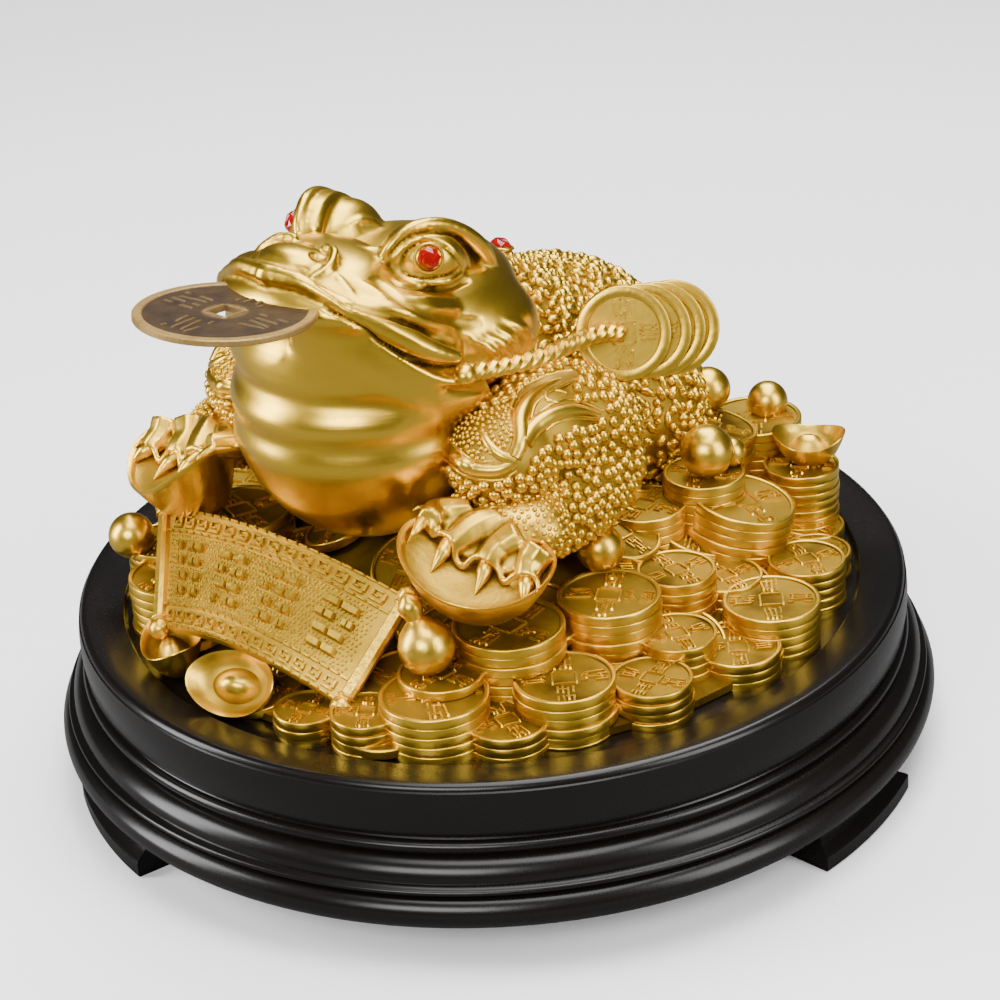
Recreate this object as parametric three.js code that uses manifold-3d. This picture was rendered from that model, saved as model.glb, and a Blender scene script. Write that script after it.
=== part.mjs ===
// Money toad figure: a cast brass toad on a heap of coins, a bronze coin in its mouth, red glass
// stones in its eyes and back, and a turned black wooden stand on three bracket feet.
// Millimetres, +Z up. The toad looks along -Y, and the stand's feet rest on Z = 0.
import * as THREE from "three";
import { mergeVertices } from "three/addons/utils/BufferGeometryUtils.js";
import Module from "manifold-3d";

const wasm = await Module();
wasm.setup();

// Driving dimensions

const GAP = 0.3; // between pieces that touch

const FOOT_HEIGHT = 12; // stand foot, floor to the underside of the stand
const FOOT_DEPTH = 15; // stand foot, across its bracket
const FOOT_ARC = 22; // degrees of the stand's rim that one foot takes
const FOOT_COUNT = 3;
const FIRST_FOOT_ANGLE = 6; // degrees from +X
const FOOT_LEDGE = 3.5; // depth of the step along a foot's upper edge
const FOOT_FACE = 5; // height of a foot's outer face under that step
const FOOT_INSET = 2.5; // foot's outer face behind the lowest moulding

const RECESS_CLEARANCE = 1.6; // between the heap and the wall of the dish
const RECESS_DEPTH = 2.2; // step at the inner edge of the rim
const RIM_SLOPE = 1.3; // fall of the rim's top face towards the dish
const RIM_WIDTH = 12.4;
const BAND_HEIGHT = 14.6; // plain upright band under the rim
const LOWER_HEIGHT = 22.4; // all mouldings under the band
const MOULDING_SPREAD = 8; // the lowest moulding outside the band

const HEAP_RADIUS = 97.5;
const HEAP_HEIGHT = 29; // mound that carries the toad, over the dish floor
const COIN_THICKNESS = 2.6;
const COIN_RADIUS = 13;

const FIGURE_HEIGHT = 115; // dish floor to the top of the brows
const FIGURE_SHIFT = -9; // middle plane of the toad from the middle of the stand

const MOUTH_COIN_RADIUS = 22.3;
const MOUTH_COIN_THICKNESS = 1.7;
const MOUTH_COIN_HOLE = 6.4; // side of the square hole
const MOUTH_COIN_TILT = 6; // degrees, front edge up

const STONE_RADIUS = 3;
const STONE_HEIGHT = 2.6;

const BALL_RADIUS = 6.2; // round gold balls among the coins
const INGOT_LENGTH = 40; // boat ingot under a front foot, tip to tip
const STRING_COIN_RADIUS = 12.2;
const STRING_COIN_THICKNESS = 2.4;
const ROPE_RADIUS = 1.9;
const BANNER_THICKNESS = 2.4;
const ROD_RADIUS = 2;

// Levels and radii that follow from them

const BAND_RADIUS = HEAP_RADIUS + RECESS_CLEARANCE + RIM_WIDTH;
const STAND_RADIUS = BAND_RADIUS + MOULDING_SPREAD;
const BAND_LEVEL = FOOT_HEIGHT + LOWER_HEIGHT;
const RIM_LEVEL = BAND_LEVEL + BAND_HEIGHT;
const DISH_LEVEL = RIM_LEVEL - RIM_SLOPE - RECESS_DEPTH;
const CAST_LEVEL = DISH_LEVEL + GAP;
const UNIT = FIGURE_HEIGHT / 115; // the toad's own millimetre, at its drawn height

// Materials

const finish = (color, roughness, metalness) =>
  new THREE.MeshStandardMaterial({ color, roughness, metalness });
const BRASS = finish(0xc8992f, 0.32, 1);
const BRONZE = finish(0x4b4133, 0.5, 1);
const LACQUER = finish(0x120e0c, 0.3, 0);
const RED_GLASS = finish(0xc3141f, 0.1, 0);

// Solids and geometries

function solid(geometry) {
  const bare = geometry.index ? geometry.toNonIndexed() : geometry.clone();
  for (const name of Object.keys(bare.attributes)) {
    if (name !== "position") bare.deleteAttribute(name);
  }
  const merged = mergeVertices(bare, 1e-3);
  const mesh = new wasm.Mesh({
    numProp: 3,
    vertProperties: merged.attributes.position.array,
    triVerts: new Uint32Array(merged.index.array),
  });
  return new wasm.Manifold(mesh);
}

function geometryOf(body) {
  const mesh = body.getMesh();
  const geometry = new THREE.BufferGeometry();
  geometry.setAttribute("position", new THREE.BufferAttribute(mesh.vertProperties, 3));
  geometry.setIndex(new THREE.BufferAttribute(mesh.triVerts, 1));
  return geometry;
}

const joined = (bodies) => bodies.reduce((whole, body) => whole.add(body));

const radians = THREE.MathUtils.degToRad;

function turned(degreesX, degreesY, degreesZ) {
  const angles = new THREE.Euler(radians(degreesX), radians(degreesY), radians(degreesZ), "ZYX");
  return new THREE.Quaternion().setFromEuler(angles);
}

// A geometry moved to its place, turned, and as large as its factors say.
function placed(geometry, position, rotation = turned(0, 0, 0), size = [1, 1, 1]) {
  const place = new THREE.Matrix4();
  place.compose(new THREE.Vector3(...position), rotation, new THREE.Vector3(...size));
  return geometry.clone().applyMatrix4(place);
}

// A closed lathe about Z from [radius, height] pairs, given from the foot of the axis to its top.
function lathe(profile, sides) {
  const points = profile.map(([radius, height]) => new THREE.Vector2(radius, height));
  return new THREE.LatheGeometry(points, sides).rotateX(Math.PI / 2);
}

function ellipsoid(centre, radii, rotation, around = 14, down = 9) {
  return solid(placed(new THREE.SphereGeometry(1, around, down), centre, rotation, radii));
}

function tube(points, radius, sides, steps) {
  const route = new THREE.CatmullRomCurve3(points.map((point) => new THREE.Vector3(...point)));
  const section = new THREE.Shape();
  for (let side = 0; side < sides; side += 1) {
    const angle = (2 * Math.PI * side) / sides;
    const draw = side ? "lineTo" : "moveTo";
    section[draw](radius * Math.cos(angle), radius * Math.sin(angle));
  }
  const options = { extrudePath: route, steps, bevelEnabled: false, curveSegments: 1 };
  return solid(new THREE.ExtrudeGeometry(section, options));
}

// Points of the toad: beside its middle plane, along Y, and over the dish floor, in its own units.
const onToad = (side, along, up) => [
  FIGURE_SHIFT + side * UNIT,
  along * UNIT,
  CAST_LEVEL + up * UNIT,
];

const toadSize = (...lengths) => lengths.map((length) => length * UNIT);

// How far a ray from the core along a direction runs before it leaves an ellipsoid.
function reach(lump, core, direction) {
  const back = lump.rotation.clone().invert();
  const radii = new THREE.Vector3(...lump.radii);
  const start = core.clone().sub(lump.centre).applyQuaternion(back).divide(radii);
  const step = direction.clone().applyQuaternion(back).divide(radii);
  const a = step.dot(step);
  const b = step.dot(start);
  const inside = b * b - a * (start.dot(start) - 1);
  return inside > 0 ? Math.max(0, (Math.sqrt(inside) - b) / a) : 0;
}

const BLEND = 22; // how sharply the lumps of a modelled form meet

// One smooth closed form over several ellipsoids that all show from its core.
function modelled(core, lumps, around, down) {
  const middle = new THREE.Vector3(...core);
  const forms = lumps.map(([centre, radii, rotation = turned(0, 0, 0)]) => ({
    centre: new THREE.Vector3(...centre),
    radii,
    rotation,
  }));
  const form = new THREE.SphereGeometry(1, around, down);
  const corners = form.attributes.position;
  const direction = new THREE.Vector3();
  for (let i = 0; i < corners.count; i += 1) {
    direction.fromBufferAttribute(corners, i).normalize();
    const sum = forms.reduce((total, lump) => total + reach(lump, middle, direction) ** BLEND, 0);
    direction.multiplyScalar(sum ** (1 / BLEND)).add(middle);
    corners.setXYZ(i, ...direction);
  }
  return solid(form);
}

// Stand

// Bands of the turned side, from the underside up to the rim, then in over the dish.
function standProfile() {
  const edge = STAND_RADIUS;
  const level = (share) => FOOT_HEIGHT + LOWER_HEIGHT * share;
  const out = (share) => BAND_RADIUS + MOULDING_SPREAD * share;
  return [
    [0, FOOT_HEIGHT],
    [out(0.56), FOOT_HEIGHT],
    [edge, level(0.2)],
    [out(0.85), level(0.36)],
    [out(0.56), level(0.41)],
    [out(0.4), level(0.54)],
    [out(0.12), level(0.77)],
    [out(-0.12), level(0.83)],
    [out(0.06), level(0.91)],
    [out(-0.22), level(0.97)],
    [out(-0.2), BAND_LEVEL],
    [BAND_RADIUS, BAND_LEVEL + BAND_HEIGHT * 0.03],
    [out(0.06), BAND_LEVEL + BAND_HEIGHT * 0.5],
    [BAND_RADIUS, RIM_LEVEL - RIM_WIDTH * 0.11],
    [BAND_RADIUS - RIM_WIDTH * 0.1, RIM_LEVEL],
    [BAND_RADIUS - RIM_WIDTH, RIM_LEVEL - RIM_SLOPE],
    [BAND_RADIUS - RIM_WIDTH, DISH_LEVEL],
    [0, DISH_LEVEL],
  ];
}

// A curved bracket whose ends are hollowed and whose upper edge steps back.
function standFoot(angle) {
  const outer = STAND_RADIUS - FOOT_INSET;
  const inner = outer - FOOT_DEPTH;
  const half = radians(FOOT_ARC / 2);
  const hollow = radians(2.2);
  const block = (outerRadius, height) => {
    const plan = new THREE.Shape();
    plan.absarc(0, 0, outerRadius, -half, half, false);
    plan.quadraticCurveTo(
      ((outerRadius + inner) / 2) * Math.cos(half - hollow),
      ((outerRadius + inner) / 2) * Math.sin(half - hollow),
      inner * Math.cos(half),
      inner * Math.sin(half),
    );
    plan.absarc(0, 0, inner, half, -half, true);
    plan.quadraticCurveTo(
      ((outerRadius + inner) / 2) * Math.cos(half - hollow),
      -((outerRadius + inner) / 2) * Math.sin(half - hollow),
      outerRadius * Math.cos(half),
      -outerRadius * Math.sin(half),
    );
    return new THREE.ExtrudeGeometry(plan, { depth: height, bevelEnabled: false, curveSegments: 2 });
  };
  const low = solid(block(outer, FOOT_FACE));
  const high = solid(block(outer - FOOT_LEDGE, FOOT_HEIGHT - GAP));
  return geometryOf(low.add(high)).rotateZ(radians(angle));
}

// Heap

// Height of the mound over the dish floor, as a share of its height, by share of the heap's radius.
const MOUND = [
  [0.93, 0],
  [0.78, 0.14],
  [0.66, 0.3],
  [0.5, 0.56],
  [0.34, 0.84],
  [0, 1],
];

const MOUND_TOE = 0.07; // upright edge of the mound, as a share of its height

function moundHeight(radius) {
  const share = radius / HEAP_RADIUS;
  for (let i = 1; i < MOUND.length; i += 1) {
    const [outerShare, lower] = MOUND[i - 1];
    const [innerShare, upper] = MOUND[i];
    if (share > outerShare) return 0;
    if (share > innerShare) {
      const along = (outerShare - share) / (outerShare - innerShare);
      return HEAP_HEIGHT * (lower + (upper - lower) * along);
    }
  }
  return HEAP_HEIGHT;
}

function mound() {
  const rise = MOUND.map(([radius, height]) => [
    radius * HEAP_RADIUS,
    CAST_LEVEL + (height || MOUND_TOE) * HEAP_HEIGHT,
  ]);
  const foot = MOUND[0][0] * HEAP_RADIUS;
  return solid(lathe([[0, CAST_LEVEL], [foot, CAST_LEVEL], ...rise], 12));
}

// Coin stacks that show from the toad's left: angle from +X, share of the heap's radius, size of
// the coins, coins over the mound, and lean in degrees.
const SIDE_STACKS = [
  [-59, 0.855, 1.07, 4, 0],
  [-47, 0.885, 0.82, 2, 0],
  [-70, 0.9, 0.7, 3, 0],
  [-81, 0.9, 0.66, 2, 0],
  [-36.5, 0.83, 1, 4, 0],
  [-21.5, 0.87, 0.8, 3, 0],
  [-2, 0.87, 0.85, 2, 0],
  [9.5, 0.865, 0.98, 4, 0],
  [26, 0.885, 0.8, 4, 0],
  [36, 0.9, 0.74, 2, 0],
  [46, 0.9, 0.76, 2, 0],
  [50, 0.92, 0.8, 8, 0],
  [4, 0.62, 0.8, 3, 0],
  [15, 0.7, 0.77, 2, 0],
  [-19, 0.62, 1.03, 4, 0],
  [-10.5, 0.77, 0.79, 3, 0],
  [-45, 0.67, 1.1, 5, 0],
  [-58.5, 0.78, 0.85, 4, 0],
  [34, 0.68, 1.12, 6, 12],
  [27, 0.44, 0.88, 2, 0],
  [57, 0.62, 1.05, 9, 14],
  [63, 0.83, 1, 10, 0],
  [37, 0.6, 0.85, 7, 0],
  [-139, 0.9, 0.8, 6, 0],
  [-141, 0.68, 1.1, 6, 0],
  [-131, 0.54, 0.7, 1, 0],
  [-116, 0.6, 0.7, 2, 0],
  [-98, 0.6, 0.7, 2, 0],
];

// Rows of stacks on the hidden side: first and last angle, step, share, size and coins in turn.
const HIDDEN_STACKS = { first: 78, last: 232, step: 22, share: 0.88, size: 1, coins: [3, 5, 4] };
const INNER_STACKS = { first: 84, last: 212, step: 32, share: 0.68, size: 1.05, coins: [2, 3] };

const STACKS = [...SIDE_STACKS];
for (const row of [HIDDEN_STACKS, INNER_STACKS]) {
  for (let angle = row.first; angle <= row.last; angle += row.step) {
    const turn = Math.round((angle - row.first) / row.step);
    STACKS.push([angle, row.share, row.size, row.coins[turn % row.coins.length], 0]);
  }
}

// How far out a stack stands, and how high its top is over the dish floor.
function stackReach([, share, size, coins]) {
  const outward = Math.min(share * HEAP_RADIUS, HEAP_RADIUS - COIN_RADIUS * size);
  return { outward, top: moundHeight(outward) + coins * COIN_THICKNESS };
}

function coinStack(stack) {
  const [angle, , size, , lean] = stack;
  const { outward, top } = stackReach(stack);
  const radius = COIN_RADIUS * size;
  const bottom = Math.max(0, moundHeight(outward + radius * 0.7) - COIN_THICKNESS);
  const sides = size > 0.9 ? 11 : 8;
  const pile = new THREE.CylinderGeometry(radius, radius, top - bottom, sides);
  pile.rotateX(Math.PI / 2);
  const x = outward * Math.cos(radians(angle));
  const y = outward * Math.sin(radians(angle));
  const middle = CAST_LEVEL + (top + bottom) / 2;
  return solid(placed(pile, [x, y, middle], turned(lean, 0, angle + 90)));
}

const coinHeap = () => joined([mound(), ...STACKS.map(coinStack)]);

// Points over the stack at an angle: outward and sideways from its middle in coin radii, and up.
function onStack(angle, out, aside, up) {
  const { outward, top } = stackReach(STACKS.find(([turn]) => turn === angle));
  const place = new THREE.Vector3(outward + out * COIN_RADIUS, aside * COIN_RADIUS, 0);
  place.applyQuaternion(turned(0, 0, angle)).setZ(CAST_LEVEL + top + up);
  return place.toArray();
}

// Points over the mound: angle from +X, share of the heap's radius, and coin thicknesses above it.
function onHeap(angle, share, coins) {
  const radius = share * HEAP_RADIUS;
  return [
    radius * Math.cos(radians(angle)),
    radius * Math.sin(radians(angle)),
    CAST_LEVEL + moundHeight(radius) + coins * COIN_THICKNESS,
  ];
}

// Profiles of a boat-shaped ingot one long: its hull, and a top that is a dome or a flat plate.
const HULL = [
  [0, 0],
  [0.2, 0],
  [0.38, 0.17],
  [0.5, 0.37],
];
const DOME = [
  [0.26, 0.27],
  [0.14, 0.4],
  [0, 0.44],
];
const PLATE = [
  [0.45, 0.345],
  [0, 0.345],
];

// A boat-shaped ingot whose two ends rise, its base at the given place.
function ingot(position, length, rotation, top) {
  const hull = lathe([...HULL, ...top], 10);
  const corners = hull.attributes.position;
  for (let i = 0; i < corners.count; i += 1) {
    const out = Math.abs(corners.getX(i)) / 0.5;
    corners.setY(i, corners.getY(i) * 0.72);
    corners.setZ(i, corners.getZ(i) * (1 + 0.35 * out ** 2));
  }
  return solid(placed(hull, position, rotation, [length, length, length]));
}

// Toad

const MOUTH_LINE = [
  [0, -65.5, 105.5],
  [10, -63.5, 105],
  [19, -58, 101.5],
  [26, -52, 95.5],
  [32, -46, 89.5],
  [36, -41, 83.5],
  [38, -37, 81.5],
];

const mirrored = (points) => points.map(([side, along, up]) => [-side, along, up]);

function head() {
  const lumps = [
    [onToad(0, -20, 88.5), toadSize(31, 32, 15)],
    [onToad(0, -47, 103), toadSize(19, 17, 8)],
    [onToad(0, -42, 96), toadSize(30, 27, 10), turned(-12, 0, 0)],
  ];
  for (const side of [-1, 1]) {
    lumps.push([onToad(side * 20, -14, 79.5), toadSize(16, 20, 14)]);
    lumps.push([onToad(side * 14, -24, 101.5), toadSize(9, 14, 13), turned(0, side * 30, 0)]);
  }
  return modelled(onToad(0, -26, 88), lumps, 20, 13);
}

function throat() {
  const lumps = [
    [onToad(0, -34, 64), toadSize(33.8, 33.8, 36)],
    [onToad(0, -38, 84), toadSize(32, 27, 20)],
  ];
  return modelled(onToad(0, -35, 72), lumps, 15, 11);
}

function lips() {
  const upper = [...mirrored(MOUTH_LINE).reverse(), ...MOUTH_LINE.slice(1)];
  const drop = (points) => points.map(([side, along, up]) => [side * 0.94, along * 0.95, up - 6]);
  const place = (points) => points.map((point) => onToad(...point));
  return joined([tube(place(upper), 4 * UNIT, 5, 14), tube(place(drop(upper)), 2.4 * UNIT, 4, 12)]);
}

function eyes() {
  const parts = [];
  for (const side of [-1, 1]) {
    const arch = [
      [11, -41, 102],
      [16, -37, 109],
      [20, -27, 113],
      [21, -13, 107.5],
      [22, -4, 98],
      [22, -2.5, 91],
    ].map(([out, along, up]) => onToad(side * out, along, up));
    parts.push(tube(arch, 2.6 * UNIT, 4, 7));
    parts.push(ellipsoid(onToad(side * 17.5, -27.5, 105), toadSize(7, 8, 7), undefined, 9, 6));
  }
  return joined(parts);
}

function trunk() {
  const lumps = [
    [onToad(0, 34, 42), toadSize(35, 42, 34)],
    [onToad(0, 6, 58), toadSize(34, 34, 30)],
  ];
  for (const side of [-1, 1]) {
    lumps.push([onToad(side * 25, 42, 34), toadSize(19, 26, 22)]);
  }
  return modelled(onToad(0, 24, 46), lumps, 13, 10);
}

function arm(side) {
  const upper = ellipsoid(
    onToad(side * 41, -6, 56),
    toadSize(14, 22, 16),
    turned(-14, 0, side * -28),
    11,
    7,
  );
  const lower = ellipsoid(onToad(side * 49, -14, 42), toadSize(12.5, 27, 12.5), turned(6, 0, 0), 9, 7);
  const shoulder = ellipsoid(onToad(side * 42, -29, 57), toadSize(14, 14.5, 13), undefined, 9, 6);
  return joined([upper, lower, shoulder]);
}

// Four toes that end in claws, spread over the foot's ingot.
const TOES = { count: 4, first: -48, step: 32, root: 8, tip: 24, thickness: 2.4 };

function frontFoot(side) {
  const base = onToad(side * 47.5, -49.5, 25);
  const parts = [ingot(base, INGOT_LENGTH, turned(18, side * 10, side * 24), PLATE)];
  parts.push(ellipsoid(onToad(side * 49, -40, 42), toadSize(11, 11, 6), turned(14, 0, 0), 8, 5));
  for (let toe = 0; toe < TOES.count; toe += 1) {
    const turn = radians(TOES.first + TOES.step * toe);
    const at = (distance, up) => [
      side * (50 + distance * Math.sin(turn)),
      -37 - distance * Math.cos(turn),
      up,
    ];
    const route = [at(TOES.root, 44), at((TOES.root + TOES.tip) / 2, 45.5), at(TOES.tip, 38)];
    parts.push(tube(route.map((point) => onToad(...point)), TOES.thickness * UNIT, 4, 2));
  }
  return joined(parts);
}

// Coins fanned on a rope that ends in the front one's hole.
function coinString() {
  const facing = turned(72, 0, 42);
  const behind = new THREE.Vector3(0, 0, -STRING_COIN_THICKNESS * 0.85).applyQuaternion(facing);
  const sideways = new THREE.Vector3(0.74, 0.67, 0);
  const front = new THREE.Vector3(...onToad(48, 13, 76));
  const route = [
    [38, -37, 81.5],
    [41, -27, 80],
    [44, -15, 79],
    [46, -5, 79.5],
    [47.5, 5, 79],
  ].map((point) => onToad(...point));
  const parts = [tube([...route, front.toArray()], ROPE_RADIUS, 5, 10)];
  for (let coin = 0; coin < 4; coin += 1) {
    const slide = coin ? STRING_COIN_RADIUS * (0.13 + 0.31 * coin) : 0;
    const disc = new THREE.CylinderGeometry(
      STRING_COIN_RADIUS,
      STRING_COIN_RADIUS,
      STRING_COIN_THICKNESS,
      11,
    );
    const centre = front.clone().addScaledVector(behind, coin).addScaledVector(sideways, slide);
    parts.push(solid(placed(disc.rotateX(Math.PI / 2), centre.toArray(), facing)));
  }
  return joined(parts);
}

// Banner: a fan-shaped sheet that bows out between two rods, leaning on the heap. Its corners are
// given along X and Y as shares of the heap's radius, and up as a share of the mound's height.
const BANNER_CORNERS = {
  top: [
    [-0.65, -0.574, 0.862],
    [0.24, -0.6, 0.921],
  ],
  bottom: [
    [-0.388, -0.872, 0.362],
    [0.212, -0.841, 0.224],
  ],
};
const BANNER_BOW = 0.082; // bulge of the sheet's middle, as a share of the heap's radius
const ROD_KNOB = 1.45; // radius of a rod's end knob over the rod's own

function banner() {
  const sheet = new THREE.BoxGeometry(1, 1, 1, 7, 1, 1);
  const corners = sheet.attributes.position;
  const point = new THREE.Vector3();
  const place = ([x, y, up]) =>
    new THREE.Vector3(x * HEAP_RADIUS, y * HEAP_RADIUS, CAST_LEVEL + up * HEAP_HEIGHT);
  const ends = (row) => BANNER_CORNERS[row].map(place);
  const [topLeft, topRight] = ends("top");
  const [bottomLeft, bottomRight] = ends("bottom");
  const across = topRight.clone().sub(topLeft);
  const down = bottomLeft.clone().sub(topLeft);
  const out = down.cross(across).normalize();
  for (let i = 0; i < corners.count; i += 1) {
    const u = corners.getX(i) + 0.5;
    const v = corners.getY(i) + 0.5;
    const lower = bottomLeft.clone().lerp(bottomRight, u);
    const upper = topLeft.clone().lerp(topRight, u);
    const bow = BANNER_BOW * HEAP_RADIUS * 4 * u * (1 - u) + corners.getZ(i) * BANNER_THICKNESS;
    point.copy(lower).lerp(upper, v).addScaledVector(out, bow);
    corners.setXYZ(i, ...point);
  }
  const parts = [solid(sheet)];
  for (const [top, bottom] of [
    [topLeft, bottomLeft],
    [topRight, bottomRight],
  ]) {
    parts.push(tube([top.toArray(), bottom.toArray()], ROD_RADIUS, 5, 1));
    for (const end of [top, bottom]) {
      const knob = ROD_RADIUS * ROD_KNOB;
      parts.push(ellipsoid(end.toArray(), [knob, knob, knob], undefined, 6, 4));
    }
  }
  return joined(parts);
}

// A bottle gourd: a round bulb with a smaller one over it.
function gourd(position, rotation) {
  const bulb = BALL_RADIUS * GOURD_SIZE;
  const tip = bulb * 0.44;
  const form = lathe(
    [
      [0, -bulb],
      [bulb * 0.72, -bulb * 0.7],
      [bulb, 0],
      [bulb * 0.72, bulb * 0.7],
      [tip * 0.7, bulb * 1.1],
      [tip, bulb * 1.55],
      [tip * 0.6, bulb * 1.9],
      [0, bulb * 2.05],
    ],
    9,
  );
  return solid(placed(form, position, rotation));
}

// Balls on the coins: angle of the stack, outward and sideways on it, height and size.
const BALLS = [
  [-19, -1.084, 0.512, 0.74, 1],
  [180, -0.408, 0.308, 0.85, 1],
  [-139, 0.644, 0.241, 0.55, 1],
  [37, 0.069, -0.072, 0.88, 1.15],
  [37, 0.562, 0.327, 0.81, 0.65],
  [57, 0.581, 0.857, 0.65, 1],
  [63, 0.413, 0.188, 0.41, 0.9],
];
const GOURD_PLACE = [-58.5, 0, -0.253];
const GOURD_SIZE = 1.15; // its bulb over a ball

// Ingots that lean at the heap's foot: angle, share of the heap's radius, coins up, length over
// the feet's, and turns.
const LEANING_INGOTS = [
  [-96, 0.88, 0.25, 0.6, [48, 0, 20]],
  [-111.8, 0.939, 0, 0.55, [10, 0, -30]],
];
const TOP_INGOT = { stack: [50, 0.184, 0.053], size: 0.5, sunk: 0.04, turns: [6, 0, 30] };

// Gourd, balls and loose ingots on and among the coins.
function treasures() {
  const gourdUp = BALL_RADIUS * GOURD_SIZE * 0.9;
  const parts = [gourd(onStack(...GOURD_PLACE, gourdUp), turned(0, -24, 0))];
  for (const [angle, out, aside, up, size] of BALLS) {
    const radius = BALL_RADIUS * size;
    const place = onStack(angle, out, aside, radius * up);
    parts.push(ellipsoid(place, [radius, radius, radius], undefined, 7, 4));
  }
  for (const [angle, share, coins, size, turns] of LEANING_INGOTS) {
    const base = onHeap(angle, share, coins);
    parts.push(ingot(base, INGOT_LENGTH * size, turned(...turns), DOME));
  }
  const length = INGOT_LENGTH * TOP_INGOT.size;
  const base = onStack(...TOP_INGOT.stack, -length * TOP_INGOT.sunk);
  parts.push(ingot(base, length, turned(...TOP_INGOT.turns), DOME));
  return joined(parts);
}

// Stones and the mouth coin

function stoneSeat(side, along, up, rotation) {
  return { position: onToad(side, along, up), rotation };
}

const LEFT_EYE = stoneSeat(23.3, -31, 106.5, turned(70, 0, 48));
const RIGHT_EYE = stoneSeat(-22, -31, 106.5, turned(70, 0, -48));
const BACK_STONE = stoneSeat(0, 22, 86, turned(-14, 0, 0));

// A cut glass stone: a short round girdle under a smaller flat face.
function stone(seat) {
  const cut = lathe(
    [
      [0, 0],
      [STONE_RADIUS, 0],
      [STONE_RADIUS, STONE_HEIGHT * 0.35],
      [STONE_RADIUS * 0.5, STONE_HEIGHT],
      [0, STONE_HEIGHT],
    ],
    8,
  );
  return placed(cut, seat.position, seat.rotation);
}

// A raised cup for the stone, and the bore that keeps it clear of the metal.
function stoneCup(seat) {
  const outer = lathe(
    [
      [0, -STONE_RADIUS * 3],
      [STONE_RADIUS * 1.53, -STONE_RADIUS * 3],
      [STONE_RADIUS * 1.4, STONE_RADIUS * 0.13],
      [0, STONE_RADIUS * 0.13],
    ],
    8,
  );
  return solid(placed(outer, seat.position, seat.rotation));
}

function stoneBore(seat) {
  const length = STONE_RADIUS * 6;
  const bore = new THREE.CylinderGeometry(STONE_RADIUS + GAP, STONE_RADIUS + GAP, length, 8);
  const up = bore.rotateX(Math.PI / 2).translate(0, 0, length / 2 - GAP);
  return solid(placed(up, seat.position, seat.rotation));
}

const COIN_SEAT = { position: onToad(0, -78.6, 104.6), rotation: turned(-MOUTH_COIN_TILT, 0, 0) };

function mouthCoin() {
  const outline = new THREE.Shape();
  outline.absarc(0, 0, MOUTH_COIN_RADIUS, 0, 2 * Math.PI, false);
  const half = MOUTH_COIN_HOLE / 2;
  const hole = new THREE.Path();
  hole.moveTo(-half, -half);
  hole.lineTo(-half, half);
  hole.lineTo(half, half);
  hole.lineTo(half, -half);
  outline.holes.push(hole);
  const options = { depth: MOUTH_COIN_THICKNESS, bevelEnabled: false, curveSegments: 14 };
  const disc = new THREE.ExtrudeGeometry(outline, options).translate(0, 0, -MOUTH_COIN_THICKNESS);
  return placed(disc, COIN_SEAT.position, COIN_SEAT.rotation);
}

function mouthSlot() {
  const radius = MOUTH_COIN_RADIUS + GAP;
  const height = MOUTH_COIN_THICKNESS + 2 * GAP;
  const disc = new THREE.CylinderGeometry(radius, radius, height, 24).rotateX(Math.PI / 2);
  disc.translate(0, 0, -MOUTH_COIN_THICKNESS / 2);
  return solid(placed(disc, COIN_SEAT.position, COIN_SEAT.rotation));
}

// Casting

function casting() {
  const seats = [LEFT_EYE, RIGHT_EYE, BACK_STONE];
  const forms = [coinHeap(), trunk(), throat(), head(), lips(), eyes()];
  for (const side of [-1, 1]) {
    forms.push(arm(side), frontFoot(side));
  }
  forms.push(coinString(), banner(), treasures(), ...seats.map(stoneCup));
  let whole = joined(forms);
  for (const cut of [mouthSlot(), ...seats.map(stoneBore)]) {
    whole = whole.subtract(cut);
  }
  const under = new THREE.BoxGeometry(3 * HEAP_RADIUS, 3 * HEAP_RADIUS, DISH_LEVEL);
  under.translate(0, 0, CAST_LEVEL - DISH_LEVEL / 2);
  return whole.subtract(solid(under));
}

// Scene graph

const figure = new THREE.Group();

function addPiece(name, geometry, material) {
  const mesh = new THREE.Mesh(geometry, material);
  mesh.name = name;
  figure.add(mesh);
}

addPiece("stand", lathe(standProfile(), 30), LACQUER);
for (let foot = 0; foot < FOOT_COUNT; foot += 1) {
  const angle = FIRST_FOOT_ANGLE + (360 / FOOT_COUNT) * foot;
  addPiece(`stand_foot_${foot + 1}`, standFoot(angle), LACQUER);
}
addPiece("toad_casting", geometryOf(casting()), BRASS);
addPiece("mouth_coin", mouthCoin(), BRONZE);
addPiece("eye_stone_left", stone(LEFT_EYE), RED_GLASS);
addPiece("eye_stone_right", stone(RIGHT_EYE), RED_GLASS);
addPiece("back_stone", stone(BACK_STONE), RED_GLASS);

export default figure;
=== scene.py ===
# %% [markdown]
# # A brass money toad on a lacquered stand
# The figure is one hollow brass casting: a toad on a heap of coins, with a banner, ingots, a gourd
# and a string of coins cast on. A loose bronze coin sits in its mouth, red cut stones are set in
# its eyes and its back, and it stands in the dish of a turned, black lacquered wooden stand.
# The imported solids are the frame. Each cell below models one real piece in its place in that frame.

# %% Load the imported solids
import math
import random

import bpy
import numpy as np
from mathutils import Euler, Matrix, Quaternion, Vector
from mathutils.bvhtree import BVHTree
from mathutils.kdtree import KDTree


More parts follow.
